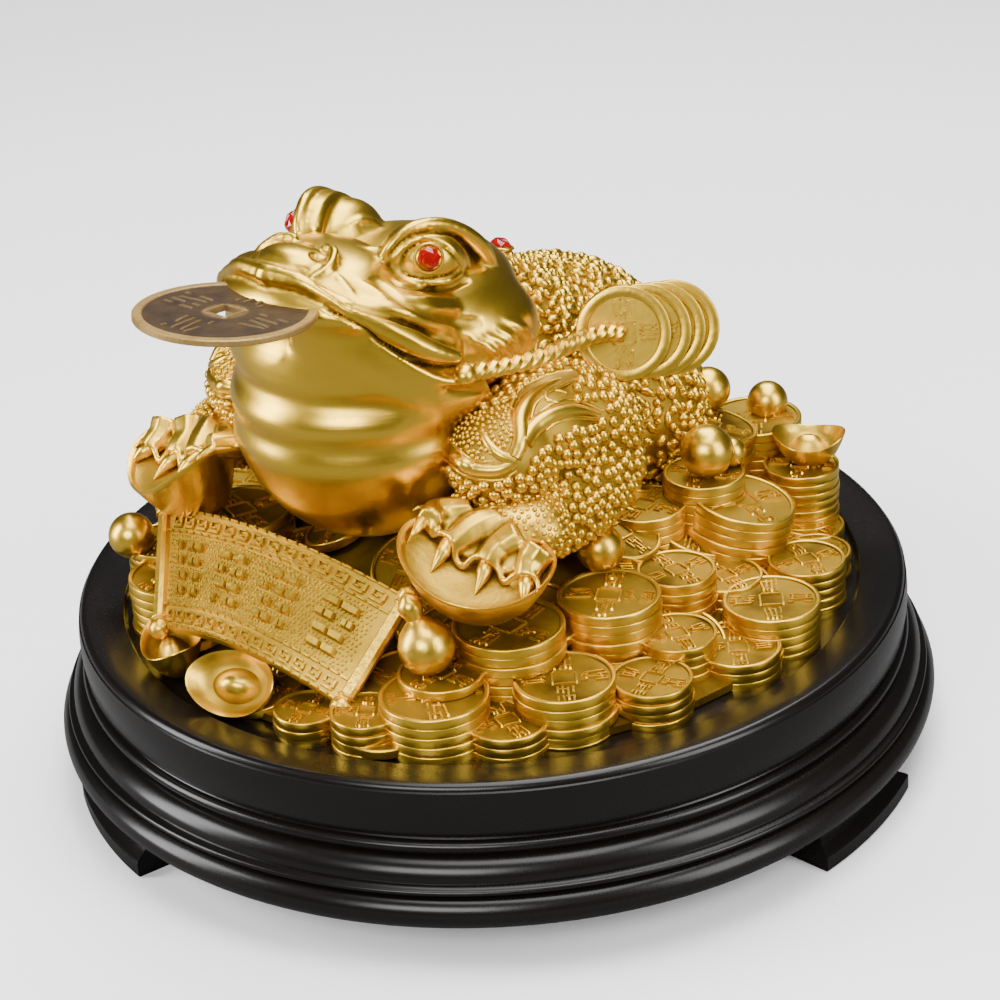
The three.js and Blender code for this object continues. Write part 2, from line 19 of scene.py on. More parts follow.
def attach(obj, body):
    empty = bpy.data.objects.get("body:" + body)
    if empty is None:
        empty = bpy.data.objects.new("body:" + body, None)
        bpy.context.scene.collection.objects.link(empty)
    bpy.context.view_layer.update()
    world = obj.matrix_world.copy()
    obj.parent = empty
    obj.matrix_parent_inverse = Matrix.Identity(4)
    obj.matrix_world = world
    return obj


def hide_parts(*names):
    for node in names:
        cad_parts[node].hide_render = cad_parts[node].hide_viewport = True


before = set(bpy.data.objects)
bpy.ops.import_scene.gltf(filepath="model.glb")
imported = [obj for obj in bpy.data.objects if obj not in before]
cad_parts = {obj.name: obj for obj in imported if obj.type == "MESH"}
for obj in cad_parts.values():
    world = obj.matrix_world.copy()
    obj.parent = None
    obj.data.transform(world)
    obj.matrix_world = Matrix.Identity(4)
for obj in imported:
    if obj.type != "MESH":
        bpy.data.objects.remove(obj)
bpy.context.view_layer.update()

# %% [markdown]
# ## Working in millimetres
# The details here are fractions of a millimetre, and every dimension is known in millimetres. So
# each piece is modelled in millimetres round the frame's origin, and its mesh is shrunk to metres
# once, when it is finished. That keeps merge distances and voxel sizes in easy numbers.

# %% Sizes shared by several pieces
MM = 0.001
GAP = 0.3
FOOT_HEIGHT = 12.0
LOWER_HEIGHT = 22.4
BAND_HEIGHT = 14.6
RIM_WIDTH = 12.4
RIM_SLOPE = 1.3
RECESS_DEPTH = 2.2
MOULDING_SPREAD = 8.0
HEAP_RADIUS = 97.5
HEAP_HEIGHT = 29.0
BAND_RADIUS = HEAP_RADIUS + 1.6 + RIM_WIDTH
STAND_RADIUS = BAND_RADIUS + MOULDING_SPREAD
BAND_LEVEL = FOOT_HEIGHT + LOWER_HEIGHT
RIM_LEVEL = BAND_LEVEL + BAND_HEIGHT
DISH_LEVEL = RIM_LEVEL - RIM_SLOPE - RECESS_DEPTH
CAST_LEVEL = DISH_LEVEL + GAP
MIDDLE = -9.0
COIN_THICKNESS = 2.6
COIN_RADIUS = 13.0
print("stand radius", STAND_RADIUS, "dish level", DISH_LEVEL)

# %% Places on the toad: beside its middle plane, along its length, and over the dish floor
def on_toad(side, along, up):
    return Vector((MIDDLE + side, along, CAST_LEVEL + up))


def turned(degrees_x, degrees_y, degrees_z):
    return Euler([math.radians(d) for d in (degrees_x, degrees_y, degrees_z)], "XYZ")


print("middle of the toad", on_toad(0, 0, 0))

# %% [markdown]
# ## Camera, light and floor
# The photograph was taken from the toad's front left with a long lens, a good way above it. The
# room is left out. A few large soft lamps give a metal object the long bright strips and the dark
# gaps that it needs to read as metal. The floor is pale to the eye and grey in reflections, as when
# a product photographer keeps the white sweep away from the metal.

# %% Camera at the photograph's viewing angle
CAMERA_PLACE = Vector((458.7, -509.5, 415.3))
CAMERA_LOOK = Vector((-0.59340, 0.66625, -0.45166))
CAMERA_ROLL = -3.67
CAMERA_LENS = 103.09
CAMERA_SENSOR = 36.0
PHOTO_SIDE = 1000

camera_data = bpy.data.cameras.new("camera")
camera_data.lens = CAMERA_LENS
camera_data.sensor_width = CAMERA_SENSOR
camera = bpy.data.objects.new("camera", camera_data)
bpy.context.scene.collection.objects.link(camera)
bpy.context.scene.camera = camera
camera_turn = CAMERA_LOOK.to_track_quat("-Z", "Y") @ Quaternion((0, 0, 1), math.radians(CAMERA_ROLL))
camera.rotation_mode = "QUATERNION"
camera.rotation_quaternion = camera_turn
camera.location = CAMERA_PLACE * MM
camera_data.clip_start = 0.05
camera_data.clip_end = 20.0
print("camera", tuple(camera.location))


# %% Soft lamps that shine at the figure: place and size in metres, power in watts
FIGURE_MIDDLE = Vector((0.0, 0.0, 0.09))
LAMPS = {
    "lamp_top": ((0.10, 0.05, 1.05), (0.9, 0.7), 17.0),
    "lamp_left": ((-0.75, -0.75, 0.45), (0.40, 0.9), 18.0),
    "lamp_right": ((1.05, 0.10, 0.55), (0.45, 0.9), 12.0),
    "lamp_front": ((0.45, -1.05, 0.75), (0.65, 0.5), 14.0),
    "lamp_back": ((-0.30, 0.50, 0.95), (0.7, 0.35), 9.0),
}


def lamp(name, place, size, power):
    data = bpy.data.lights.new(name, "AREA")
    data.shape = "RECTANGLE"
    data.size, data.size_y = size
    data.energy = power
    lamp_object = bpy.data.objects.new(name, data)
    bpy.context.scene.collection.objects.link(lamp_object)
    lamp_object.location = place
    lamp_object.rotation_euler = (FIGURE_MIDDLE - Vector(place)).to_track_quat("-Z", "Y").to_euler()


for name, (place, size, power) in LAMPS.items():
    lamp(name, place, size, power)
print("lamps", len(LAMPS))

# %% World light and pale floor
world = bpy.data.worlds.new("studio")
bpy.context.scene.world = world
world.use_nodes = True
background = world.node_tree.nodes["Background"]
background.inputs["Color"].default_value = (0.80, 0.84, 0.90, 1.0)
background.inputs["Strength"].default_value = 0.07

bpy.ops.mesh.primitive_plane_add(size=14.0, location=(0, 0, 0))
floor = bpy.context.active_object
floor.name = "floor"
floor_paint = bpy.data.materials.new("floor_paint")
floor_paint.use_nodes = True
floor_shader = floor_paint.node_tree.nodes["Principled BSDF"]
floor_shader.inputs["Roughness"].default_value = 0.8
floor_shader.inputs["Specular IOR Level"].default_value = 0.1
floor_light = floor_paint.node_tree.nodes.new("ShaderNodeLightPath")
floor_mix = floor_paint.node_tree.nodes.new("ShaderNodeMix")
floor_mix.data_type = "RGBA"
share, grey, white = [socket for socket in floor_mix.inputs if socket.enabled]
floor_paint.node_tree.links.new(floor_light.outputs["Is Camera Ray"], share)
grey.default_value = (0.16, 0.16, 0.16, 1.0)
white.default_value = (1.0, 1.0, 1.0, 1.0)
floor_colour = next(socket for socket in floor_mix.outputs if socket.enabled)
floor_paint.node_tree.links.new(floor_colour, floor_shader.inputs["Base Color"])
floor.data.materials.append(floor_paint)
print("floor", floor.name, "grey in reflections", tuple(grey.default_value))

# %% [markdown]
# ## Tools for modelling by hand in code
# A new primitive is selected all over and the loaded solids are selected too, so every step starts
# with nothing selected. A finished piece is shrunk to metres, rides on the figure's one body, and
# stands for the solid that it covers.

# %% Selecting, and making a turn, move or scale part of the mesh
def clear_selection():
    if bpy.context.mode != "OBJECT":
        bpy.ops.object.mode_set(mode="OBJECT")
    bpy.ops.object.select_all(action="DESELECT")


def choose(*objects):
    clear_selection()
    for each in objects:
        each.select_set(True)
    bpy.context.view_layer.objects.active = objects[0]


def settle(piece):
    choose(piece)
    bpy.ops.object.transform_apply(location=True, rotation=True, scale=True)
    return piece


clear_selection()


# %% Joining, changing by a modifier, and copying
def joined(name, pieces):
    choose(*pieces)
    if len(pieces) > 1:
        bpy.ops.object.join()
    whole = bpy.context.active_object
    whole.name = name
    whole.data.name = name
    return settle(whole)


def modified(piece, kind, **settings):
    choose(piece)
    modifier = piece.modifiers.new(kind.lower(), kind)
    for key, value in settings.items():
        setattr(modifier, key, value)
    bpy.ops.object.modifier_apply(modifier=modifier.name)
    return piece


def copy_of(piece, name):
    twin = piece.copy()
    twin.data = piece.data.copy()
    twin.name = name
    bpy.context.scene.collection.objects.link(twin)
    return twin


# %% Finishing a piece: metres, smooth shading, body and the solid it stands for
SMOOTH_ANGLE = 35.0


def finish_piece(piece, slot, *nodes, smooth=SMOOTH_ANGLE):
    piece.data.transform(Matrix.Scale(MM, 4))
    choose(piece)
    if smooth:
        bpy.ops.object.shade_smooth_by_angle(angle=math.radians(smooth))
    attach(piece, "root")
    if nodes:
        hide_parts(*nodes)
    piece.data.calc_loop_triangles()
    print(piece.name, "triangles", len(piece.data.loop_triangles))


# %% [markdown]
# ## Turned forms
# A wood turner works to a profile, and so does this helper: a plane is melted to one point, the
# point is extruded along the profile, and the line is spun round the upright axis. Doubles on the
# axis and along the seam are merged before the faces are turned outwards.

# %% A profile drawn as a line in edit mode, and a form spun from it
DOUBLES = 0.0005


def drawn(name, profile):
    clear_selection()
    bpy.ops.mesh.primitive_plane_add(size=0.01, location=(0, 0, 0))
    form = bpy.context.active_object
    form.name = name
    bpy.ops.object.mode_set(mode="EDIT")
    bpy.ops.mesh.select_all(action="SELECT")
    bpy.ops.mesh.merge(type="CENTER")
    bpy.ops.transform.translate(value=(profile[0][0], 0, profile[0][1]))
    for (radius, height), (next_radius, next_height) in zip(profile, profile[1:]):
        step = (next_radius - radius, 0, next_height - height)
        bpy.ops.mesh.extrude_region_move(TRANSFORM_OT_translate={"value": step})
    bpy.ops.mesh.select_all(action="SELECT")
    return form


def spin_round(steps, degrees):
    bpy.ops.mesh.spin(steps=steps, angle=math.radians(degrees), center=(0, 0, 0), axis=(0, 0, 1))
    bpy.ops.mesh.select_all(action="SELECT")
    bpy.ops.mesh.remove_doubles(threshold=DOUBLES)
    bpy.ops.mesh.normals_make_consistent(inside=False)
    bpy.ops.object.mode_set(mode="OBJECT")


def spun(name, profile, steps):
    form = drawn(name, profile)
    spin_round(steps, 360)
    return form


print("doubles are merged within", DOUBLES)

# %% A round corner or bead along a profile
def bead(centre, radius, start, end, steps):
    points = []
    for step in range(steps + 1):
        angle = math.radians(start + (end - start) * step / steps)
        points.append((centre[0] + radius * math.cos(angle), centre[1] + radius * math.sin(angle)))
    return points


print("a bead of 1 mm starts at", bead((0, 0), 1, 0, 90, 2)[0])

# %% [markdown]
# ## The stand
# The real stand was turned on a lathe and then lacquered. From the underside up it has a fat round
# torus, a thin fillet, a quarter round, a small bead in two grooves, the plain band, and a rim whose
# rounded edge slopes in to the dish. Rings could be stacked for that, but one spun profile has no
# seams between its mouldings. The solid has the same bands with few facets. Here each one gets its
# full curve.

# %% Stand profile and its smooth turned form
def stand_profile():
    edge = STAND_RADIUS
    low = FOOT_HEIGHT
    points = [(0, low), (edge - 4.2, low)]
    points += bead((edge - 4.4, low + 4.4), 4.4, -88, 84, 14)
    points += [(edge - 5.2, low + 9.0), (edge - 4.6, low + 9.4)]
    points += bead((edge - 2.9, low + 10.2), 0.8, -90, 80, 5)
    points += [(edge - 3.9, low + 11.2), (edge - 4.4, low + 11.7)]
    points += bead((edge - 9.0, low + 12.2), 5.2, 0, 78, 9)
    points += [(edge - 8.6, low + 17.6)]
    points += bead((edge - 8.6, low + 19.6), 1.5, -86, 86, 8)
    points += [(edge - 9.2, low + 21.4), (edge - 9.5, low + 22.0)]
    points += [(BAND_RADIUS - 0.6, BAND_LEVEL), (BAND_RADIUS - 0.1, BAND_LEVEL + 0.6)]
    points += bead((BAND_RADIUS - 28.0, BAND_LEVEL + BAND_HEIGHT / 2 + 0.4), 28.6, -11, 10, 6)
    points += bead((BAND_RADIUS - 2.1, RIM_LEVEL - 1.9), 1.9, 8, 92, 7)
    inner = BAND_RADIUS - RIM_WIDTH
    points += [(BAND_RADIUS - 5.0, RIM_LEVEL - 0.25), (inner + 1.2, RIM_LEVEL - RIM_SLOPE + 0.1)]
    points += bead((inner + 0.7, RIM_LEVEL - RIM_SLOPE - 0.55), 0.6, 80, 178, 5)
    points += [(inner + 0.1, DISH_LEVEL + 0.5), (inner - 0.5, DISH_LEVEL), (0, DISH_LEVEL)]
    return points


STAND_STEPS = 160
stand = spun("stand_turned", stand_profile(), STAND_STEPS)
print("stand corners", len(stand.data.vertices))

# %% [markdown]
# ## Finishes
# Every finish is mixed from noise in the piece's own coordinates, so it needs no picture. The brass
# is polished where a cloth reaches and brown in its recesses. That brown is partly tarnish and partly
# painted shade, laid in creases, crevices and the gaps between parts. A painted picture could say
# where, but it would need every piece unwrapped. Instead each brass mesh carries a value per corner
# for tarnish and painted shade, which is set while the piece is modelled. All the brass shares one
# node group, and each of its four finishes only gives the group other values.

# %% Adding a node with its sockets filled, and the few kinds used most
def add(tree, kind, sockets=None, **settings):
    node = tree.nodes.new("ShaderNode" + kind)
    for key, value in settings.items():
        setattr(node, key, value)
    for key, value in (sockets or {}).items():
        if isinstance(value, bpy.types.NodeSocket):
            tree.links.new(value, node.inputs[key])
        else:
            node.inputs[key].default_value = value
    return node


def math_of(tree, operation, first, second=0.0, clamp=False):
    node = add(tree, "Math", {0: first, 1: second}, operation=operation, use_clamp=clamp)
    return node.outputs[0]


def blend_of(tree, share, first, second):
    node = add(tree, "Mix", data_type="RGBA")
    sockets = [s for s in node.inputs if s.enabled]
    for socket, value in zip(sockets, (share, first, second)):
        if isinstance(value, bpy.types.NodeSocket):
            tree.links.new(value, socket)
        else:
            socket.default_value = value
    return next(s for s in node.outputs if s.enabled)


def noise_of(tree, coordinates, scale, detail, stretch=(1.0, 1.0, 1.0)):
    place = add(tree, "Mapping", {"Vector": coordinates, "Scale": stretch})
    node = add(tree, "TexNoise", {"Vector": place.outputs[0], "Scale": scale, "Detail": detail})
    return node.outputs["Fac"]


# %% A node group or a material with its own tree, and grain that only bends the light
def new_group(name, inputs, outputs):
    tree = bpy.data.node_groups.new(name, "ShaderNodeTree")
    for label, value in inputs.items():
        kind = "NodeSocketColor" if isinstance(value, tuple) else "NodeSocketFloat"
        socket = tree.interface.new_socket(name=label, in_out="INPUT", socket_type=kind)
        socket.default_value = value
    for label, kind in outputs.items():
        tree.interface.new_socket(name=label, in_out="OUTPUT", socket_type="NodeSocket" + kind)
    return tree, tree.nodes.new("NodeGroupInput").outputs, tree.nodes.new("NodeGroupOutput").inputs


def new_material(name):
    material = bpy.data.materials.new(name)
    material.use_nodes = True
    return material, material.node_tree, material.node_tree.nodes["Principled BSDF"]


def raise_grain(tree, shader, height, distance, strength=1.0):
    relief = add(tree, "Bump", {"Height": height, "Distance": distance * MM, "Strength": strength})
    tree.links.new(relief.outputs["Normal"], shader.inputs["Normal"])


# %% Wearing a finish, and painting tarnish and shade as one value or a value per corner
def wear(piece, material):
    piece.data.materials.clear()
    piece.data.materials.append(material)


# The value per corner is tarnish and painted shade: 0 is bright brass, 1 is brown.
def paint(piece, tarnish):
    values = np.broadcast_to(np.asarray(tarnish, dtype=np.float32), len(piece.data.vertices))
    attributes = piece.data.attributes
    attribute = attributes.get("tarnish") or attributes.new("tarnish", "FLOAT", "POINT")
    attribute.data.foreach_set("value", np.ascontiguousarray(values))


print("tarnish goes from 0, bright, to 1, brown")

# %% Brass: polished, with brown recesses of tarnish and painted shade, and fine scratches
POLISHED = (0.83, 0.535, 0.060, 1.0)
WARM = (0.70, 0.430, 0.030, 1.0)
# The brown of tarnish, also used as painted shade in recesses and gaps
TARNISH_AND_SHADE_BROWN = (0.085, 0.045, 0.005, 1.0)

brass_group, given, made = new_group(
    "aged_brass",
    {"Polish": 0.24, "Grain": 0.5, "Brushed": 0.0, "Clouds": 0.9},
    {"Color": "Color", "Roughness": "Float", "Height": "Float"},
)
place = add(brass_group, "TexCoord").outputs["Object"]
tarnish = add(brass_group, "Attribute", attribute_name="tarnish").outputs["Fac"]
blotch = noise_of(brass_group, place, 45.0, 4.0)
speck = noise_of(brass_group, place, 700.0, 3.0)
scratch = noise_of(brass_group, place, 60.0, 4.0, (1.0, 1.0, 26.0))
blotchy_tarnish_and_shade = math_of(brass_group, "MULTIPLY", tarnish, math_of(brass_group, "ADD", blotch, 0.55))
cloud = math_of(brass_group, "SUBTRACT", blotch, 0.52, True)
cloud = math_of(brass_group, "MULTIPLY", cloud, given["Clouds"])
dark = math_of(brass_group, "ADD", blotchy_tarnish_and_shade, cloud, True)
warm = blend_of(brass_group, blotch, POLISHED, WARM)
colour = blend_of(brass_group, dark, warm, TARNISH_AND_SHADE_BROWN)
brass_group.links.new(colour, made["Color"])
dull = math_of(brass_group, "MULTIPLY", dark, 0.34)
rough = math_of(brass_group, "ADD", given["Polish"], dull)
rough = math_of(brass_group, "ADD", rough, math_of(brass_group, "MULTIPLY", speck, 0.06), True)
brass_group.links.new(rough, made["Roughness"])
grain = math_of(brass_group, "MULTIPLY", speck, given["Grain"])
lines = math_of(brass_group, "MULTIPLY", scratch, given["Brushed"])
brass_group.links.new(math_of(brass_group, "ADD", grain, lines), made["Height"])


print("brass group takes", [s.name for s in given if s.name], "and gives", [s.name for s in made if s.name])


# %% Four brass finishes from the one group
def brass(name, polish, grain, brushed, bump, clouds=0.9):
    material, tree, shader = new_material(name)
    values = {"Polish": polish, "Grain": grain, "Brushed": brushed, "Clouds": clouds}
    finish = add(tree, "Group", node_tree=brass_group)
    for label, value in values.items():
        finish.inputs[label].default_value = value
    tree.links.new(finish.outputs["Color"], shader.inputs["Base Color"])
    tree.links.new(finish.outputs["Roughness"], shader.inputs["Roughness"])
    raise_grain(tree, shader, finish.outputs["Height"], bump)
    shader.inputs["Metallic"].default_value = 1.0
    return material


brass_satin = brass("brass_satin", 0.27, 0.05, 0.60, 0.07, 0.15)
brass_skin = brass("brass_skin", 0.29, 0.45, 0.0, 0.10)
brass_coins = brass("brass_coins", 0.29, 0.6, 0.0, 0.10)
brass_hand = brass("brass_hand", 0.32, 1.0, 0.0, 0.16)
print("brass finishes", [each.name for each in (brass_satin, brass_skin, brass_coins, brass_hand)])

# %% [markdown]
# ### Lacquer, bronze and glass
# The stand's lacquer is black and half glossy, a little uneven from the brush. The coin in the mouth
# is old bronze, brown with dark clouds, and yellow where it has no tarnish. The stones are red glass.
# Each could be one flat colour, but a little noise in colour and gloss keeps a large smooth form from
# looking like plastic.

# %% Black lacquer over wood
lacquer, tree, shader = new_material("black_lacquer_paint")
place = add(tree, "TexCoord").outputs["Object"]
haze = noise_of(tree, place, 14.0, 3.0)
dust = noise_of(tree, place, 900.0, 2.0)
black = blend_of(tree, haze, (0.002, 0.002, 0.002, 1.0), (0.006, 0.004, 0.003, 1.0))
tree.links.new(black, shader.inputs["Base Color"])
rough = math_of(tree, "ADD", math_of(tree, "MULTIPLY", haze, 0.14), 0.15)
rough = math_of(tree, "ADD", rough, math_of(tree, "MULTIPLY", dust, 0.06))
tree.links.new(rough, shader.inputs["Roughness"])
raise_grain(tree, shader, haze, 0.4, 0.5)
shader.inputs["Specular IOR Level"].default_value = 0.30
print("lacquer", lacquer.name)

# %% Dark bronze with a patina, bright where it has no tarnish
bronze, tree, shader = new_material("dark_bronze_patina")
place = add(tree, "TexCoord").outputs["Object"]
tarnish = add(tree, "Attribute", attribute_name="tarnish").outputs["Fac"]
cloud = noise_of(tree, place, 160.0, 6.0)
speck = noise_of(tree, place, 900.0, 3.0)
patina = blend_of(tree, cloud, (0.006, 0.008, 0.012, 1.0), (0.075, 0.042, 0.016, 1.0))
gilt = math_of(tree, "SUBTRACT", 1.0, tarnish, True)
gilt = math_of(tree, "MULTIPLY", gilt, math_of(tree, "ADD", speck, 0.4), True)
rough = math_of(tree, "ADD", math_of(tree, "MULTIPLY", cloud, 0.3), 0.32)
tree.links.new(blend_of(tree, gilt, patina, (0.44, 0.28, 0.09, 1.0)), shader.inputs["Base Color"])
tree.links.new(math_of(tree, "MULTIPLY", gilt, 0.9), shader.inputs["Metallic"])
tree.links.new(rough, shader.inputs["Roughness"])
raise_grain(tree, shader, speck, 0.12)
shader.inputs["Specular IOR Level"].default_value = 0.10
print("bronze", bronze.name)

# %% Red cut glass
red_glass, tree, shader = new_material("red_cut_glass")
place = add(tree, "TexCoord").outputs["Object"]
depth = noise_of(tree, place, 500.0, 2.0)
red = blend_of(tree, depth, (0.20, 0.0005, 0.001, 1.0), (0.46, 0.002, 0.004, 1.0))
tree.links.new(red, shader.inputs["Base Color"])
shader.inputs["Roughness"].default_value = 0.06
shader.inputs["Transmission Weight"].default_value = 0.2
shader.inputs["Coat Weight"].default_value = 0.25
shader.inputs["Coat Roughness"].default_value = 0.03
print("glass", red_glass.name)

# %% [markdown]
# ## Modelling the toad
# The toad is all round lumps that run into each other, so it starts as the same few ellipsoids as
# the solid. A voxel remesh turns them into one skin, and a little smoothing melts the joints. Folds
# of skin are then pressed in or raised along lines, as a wax modeller does before casting. Each
# line was drawn over the photograph, and is laid on the skin by looking from the camera through
# its points. The side that the photograph doesn't show gets the mirrored lines.

# %% Reading and writing all the points of a mesh at once
def read_points(piece):
    values = np.empty(len(piece.data.vertices) * 3)
    piece.data.vertices.foreach_get("co", values)
    return values.reshape(-1, 3)


def read_normals(piece):
    values = np.empty(len(piece.data.vertices) * 3)
    piece.data.vertices.foreach_get("normal", values)
    return values.reshape(-1, 3)


def write_points(piece, points):
    piece.data.vertices.foreach_set("co", np.ascontiguousarray(points).ravel())
    piece.data.update()


def tree_of(piece):
    bpy.context.view_layer.update()
    return BVHTree.FromObject(piece, bpy.context.evaluated_depsgraph_get())


print("highest point of the turned stand", read_points(stand)[:, 2].max())

# %% Ellipsoids, and how far they reach from a core in many directions
def ellipsoid(place, radii, turn=None, segments=48, rings=32):
    clear_selection()
    bpy.ops.mesh.primitive_uv_sphere_add(segments=segments, ring_count=rings, radius=1.0)
    form = bpy.context.active_object
    form.location = place
    form.rotation_euler = turn or Euler((0, 0, 0))
    form.scale = radii
    return settle(form)


def reach(centre, radii, turn, core, directions):
    back = np.array((turn or Euler((0, 0, 0))).to_matrix().inverted())
    start = (back @ (np.array(core) - np.array(centre))) / np.array(radii)
    steps = (directions @ back.T) / np.array(radii)
    a = (steps ** 2).sum(1)
    b = steps @ start
    inside = b * b - a * (start @ start - 1.0)
    return np.where(inside > 0, np.maximum(0, (np.sqrt(np.maximum(inside, 0)) - b) / a), 0)


# %% Lumps that run into each other, as one form seen from its core
BLEND = 22.0


def modelled(core, lumps, segments=96, rings=64):
    form = ellipsoid((0, 0, 0), (1, 1, 1), None, segments, rings)
    corners = read_points(form)
    directions = corners / np.linalg.norm(corners, axis=1)[:, None]
    total = 0
    for centre, radii, turn in lumps:
        total = total + reach(centre, radii, turn, core, directions) ** BLEND
    write_points(form, np.array(core) + directions * (total ** (1 / BLEND))[:, None])
    return form


# %% A smooth line through points, with samples at even steps
def smooth_line(points, step=0.35):
    points = [Vector(p) for p in points]
    ends = [points[0] * 2 - points[1]] + points + [points[-1] * 2 - points[-2]]
    samples = []
    for before, a, b, after in zip(ends, ends[1:], ends[2:], ends[3:]):
        count = max(2, int((b - a).length / step))
        for i in range(count):
            t = i / count
            samples.append(0.5 * ((2 * a) + (b - before) * t
                                  + (2 * before - 5 * a + 4 * b - after) * t * t
                                  + (3 * a - before - 3 * b + after) * t * t * t))
    samples.append(points[-1])
    return np.array(samples)


# %% A round bar along a line, thick or thin at each point
def bar(name, points, radii, sides=12, step=1.2):
    line = smooth_line(points, step)
    curve = bpy.data.curves.new(name, "CURVE")
    curve.dimensions = "3D"
    curve.bevel_depth = 1.0
    curve.bevel_resolution = max(0, sides // 4 - 1)
    curve.use_fill_caps = True
    spline = curve.splines.new("POLY")
    spline.points.add(len(line) - 1)
    widths = np.interp(np.linspace(0, 1, len(line)), np.linspace(0, 1, len(radii)), radii)
    for point, place, width in zip(spline.points, line, widths):
        point.co = (*place, 1.0)
        point.radius = width
    form = bpy.data.objects.new(name, curve)
    bpy.context.scene.collection.objects.link(form)
    choose(form)
    bpy.ops.object.convert(target="MESH")
    return bpy.context.active_object


# %% A skin made of one closed surface
def skin(name, forms, voxel, soften):
    whole = joined(name, forms)
    modified(whole, "REMESH", mode="VOXEL", voxel_size=voxel)
    modified(whole, "SMOOTH", factor=0.5, iterations=soften)
    print(name, "skin corners", len(whole.data.vertices))
    return whole


# %% Looking from the camera through a pixel of the photograph
PHOTO_FOCUS = CAMERA_LENS / CAMERA_SENSOR * PHOTO_SIDE
print("focus in pixels", PHOTO_FOCUS)


def seen_way(pixel):
    across = (pixel[0] - PHOTO_SIDE / 2) / PHOTO_FOCUS
    down = (pixel[1] - PHOTO_SIDE / 2) / PHOTO_FOCUS
    return camera_turn @ Vector((across, -down, -1.0)).normalized()


def seen_on(tree, pixel, lift=0.0):
    place, normal = tree.ray_cast(CAMERA_PLACE, seen_way(pixel))[:2]
    return None if place is None else place + normal * lift


def laid_line(tree, pixels):
    places = [seen_on(tree, pixel) for pixel in pixels]
    if None in places:
        print("points off the skin", [q for p, q in zip(places, pixels) if p is None])
    return smooth_line([place for place in places if place is not None])


def other_side(line):
    twin = np.array(line, dtype=float)
    twin[..., 0] = 2 * MIDDLE - twin[..., 0]
    return twin


# %% A skin that can be pressed and raised along lines and at spots
LINE_TAPER = 3.0
LINE_PART = 48


class Skin:
    def __init__(self, piece):
        self.piece = piece
        self.points = read_points(piece)
        self.refresh()

    def refresh(self):
        write_points(self.piece, self.points)
        self.normals = read_normals(self.piece)
        self.tree = tree_of(self.piece)

    def distances(self, line, width):
        low = line.min(0) - width
        high = line.max(0) + width
        near = np.where(np.all((self.points > low) & (self.points < high), axis=1))[0]
        best = np.full(len(near), np.inf)
        which = np.zeros(len(near), int)
        for start in range(0, len(line), LINE_PART):
            part = line[start:start + LINE_PART]
            gaps = np.linalg.norm(self.points[near][:, None, :] - part[None], axis=2)
            index = gaps.argmin(1)
            value = gaps[np.arange(len(near)), index]
            closer = value < best
            best[closer] = value[closer]
            which[closer] = index[closer] + start
        inside = best < width
        return near[inside], best[inside], which[inside]

    def press(self, line, width, height, sharp):
        rows, gaps, which = self.distances(line, width)
        gone = np.concatenate([[0], np.cumsum(np.linalg.norm(np.diff(line, axis=0), axis=1))])
        ends = np.minimum(gone, gone[-1] - gone)
        strength = np.clip(ends / LINE_TAPER, 0, 1) ** 0.7
        share = gaps / width
        shape = (1 - share) ** 1.6 if sharp else 0.5 + 0.5 * np.cos(math.pi * share)
        self.points[rows] += self.normals[rows] * (height * shape * strength[which])[:, None]

    def dab(self, place, radius, height):
        gaps = np.linalg.norm(self.points - np.array(place), axis=1)
        rows = np.where(gaps < radius)[0]
        shape = 0.5 + 0.5 * np.cos(math.pi * gaps[rows] / radius)
        self.points[rows] += self.normals[rows] * (height * shape)[:, None]

    def draw(self, strokes):
        for width, height, sharp, pixels in strokes:
            line = laid_line(self.tree, pixels)
            self.press(line, width, height, sharp)
            self.press(other_side(line), width, height, sharp)
        self.refresh()


print("lines taper over", LINE_TAPER, "mm at their ends")


# %% Tarnish and painted shade in the hollows of a skin
def hollows(piece, rounds, gain):
    points = read_points(piece)
    edges = np.empty(len(piece.data.edges) * 2, dtype=np.int32)
    piece.data.edges.foreach_get("vertices", edges)
    first, second = edges.reshape(-1, 2).T
    degree = np.bincount(edges, minlength=len(points)).astype(float)[:, None]
    smooth = points.copy()
    for _ in range(rounds):
        total = np.zeros_like(smooth)
        np.add.at(total, first, smooth[second])
        np.add.at(total, second, smooth[first])
        smooth = total / degree
    depth = ((smooth - points) * read_normals(piece)).sum(1)
    return np.clip(depth * gain, 0, 1)


# %% [markdown]
# ### Head and throat
# The head is a broad wedge with two domes for the eyes, over a ball of a throat that sits down on
# the coins. The upper lip is a thick roll from corner to corner, and a strong arch stands over
# each eye. It could be sculpted by hand, but round bars along lines seen in the photograph put the
# brows, lids and lips where they are, and the voxel remesh blends the bars into the skin.

# %% Places seen in the photograph, on the skin or at a depth
EYE_CENTRE = on_toad(17.7, -26.6, 104.2)
VIEW = camera_turn @ Vector((0, 0, -1))
EYE_DEPTH = (EYE_CENTRE - CAMERA_PLACE).dot(VIEW)


def seen_at(pixel, toward):
    way = seen_way(pixel)
    return CAMERA_PLACE + way * ((EYE_DEPTH - toward) / way.dot(VIEW))


def mirrored(point):
    return Vector((2 * MIDDLE - point[0], point[1], point[2]))


def twin_bars(points, radii, sides=12, step=0.8):
    bars = [bar("fold", points, radii, sides, step)]
    bars.append(bar("fold", [mirrored(p) for p in points], radii, sides, step))
    return bars


print("eye centre", tuple(EYE_CENTRE), "depth", EYE_DEPTH)

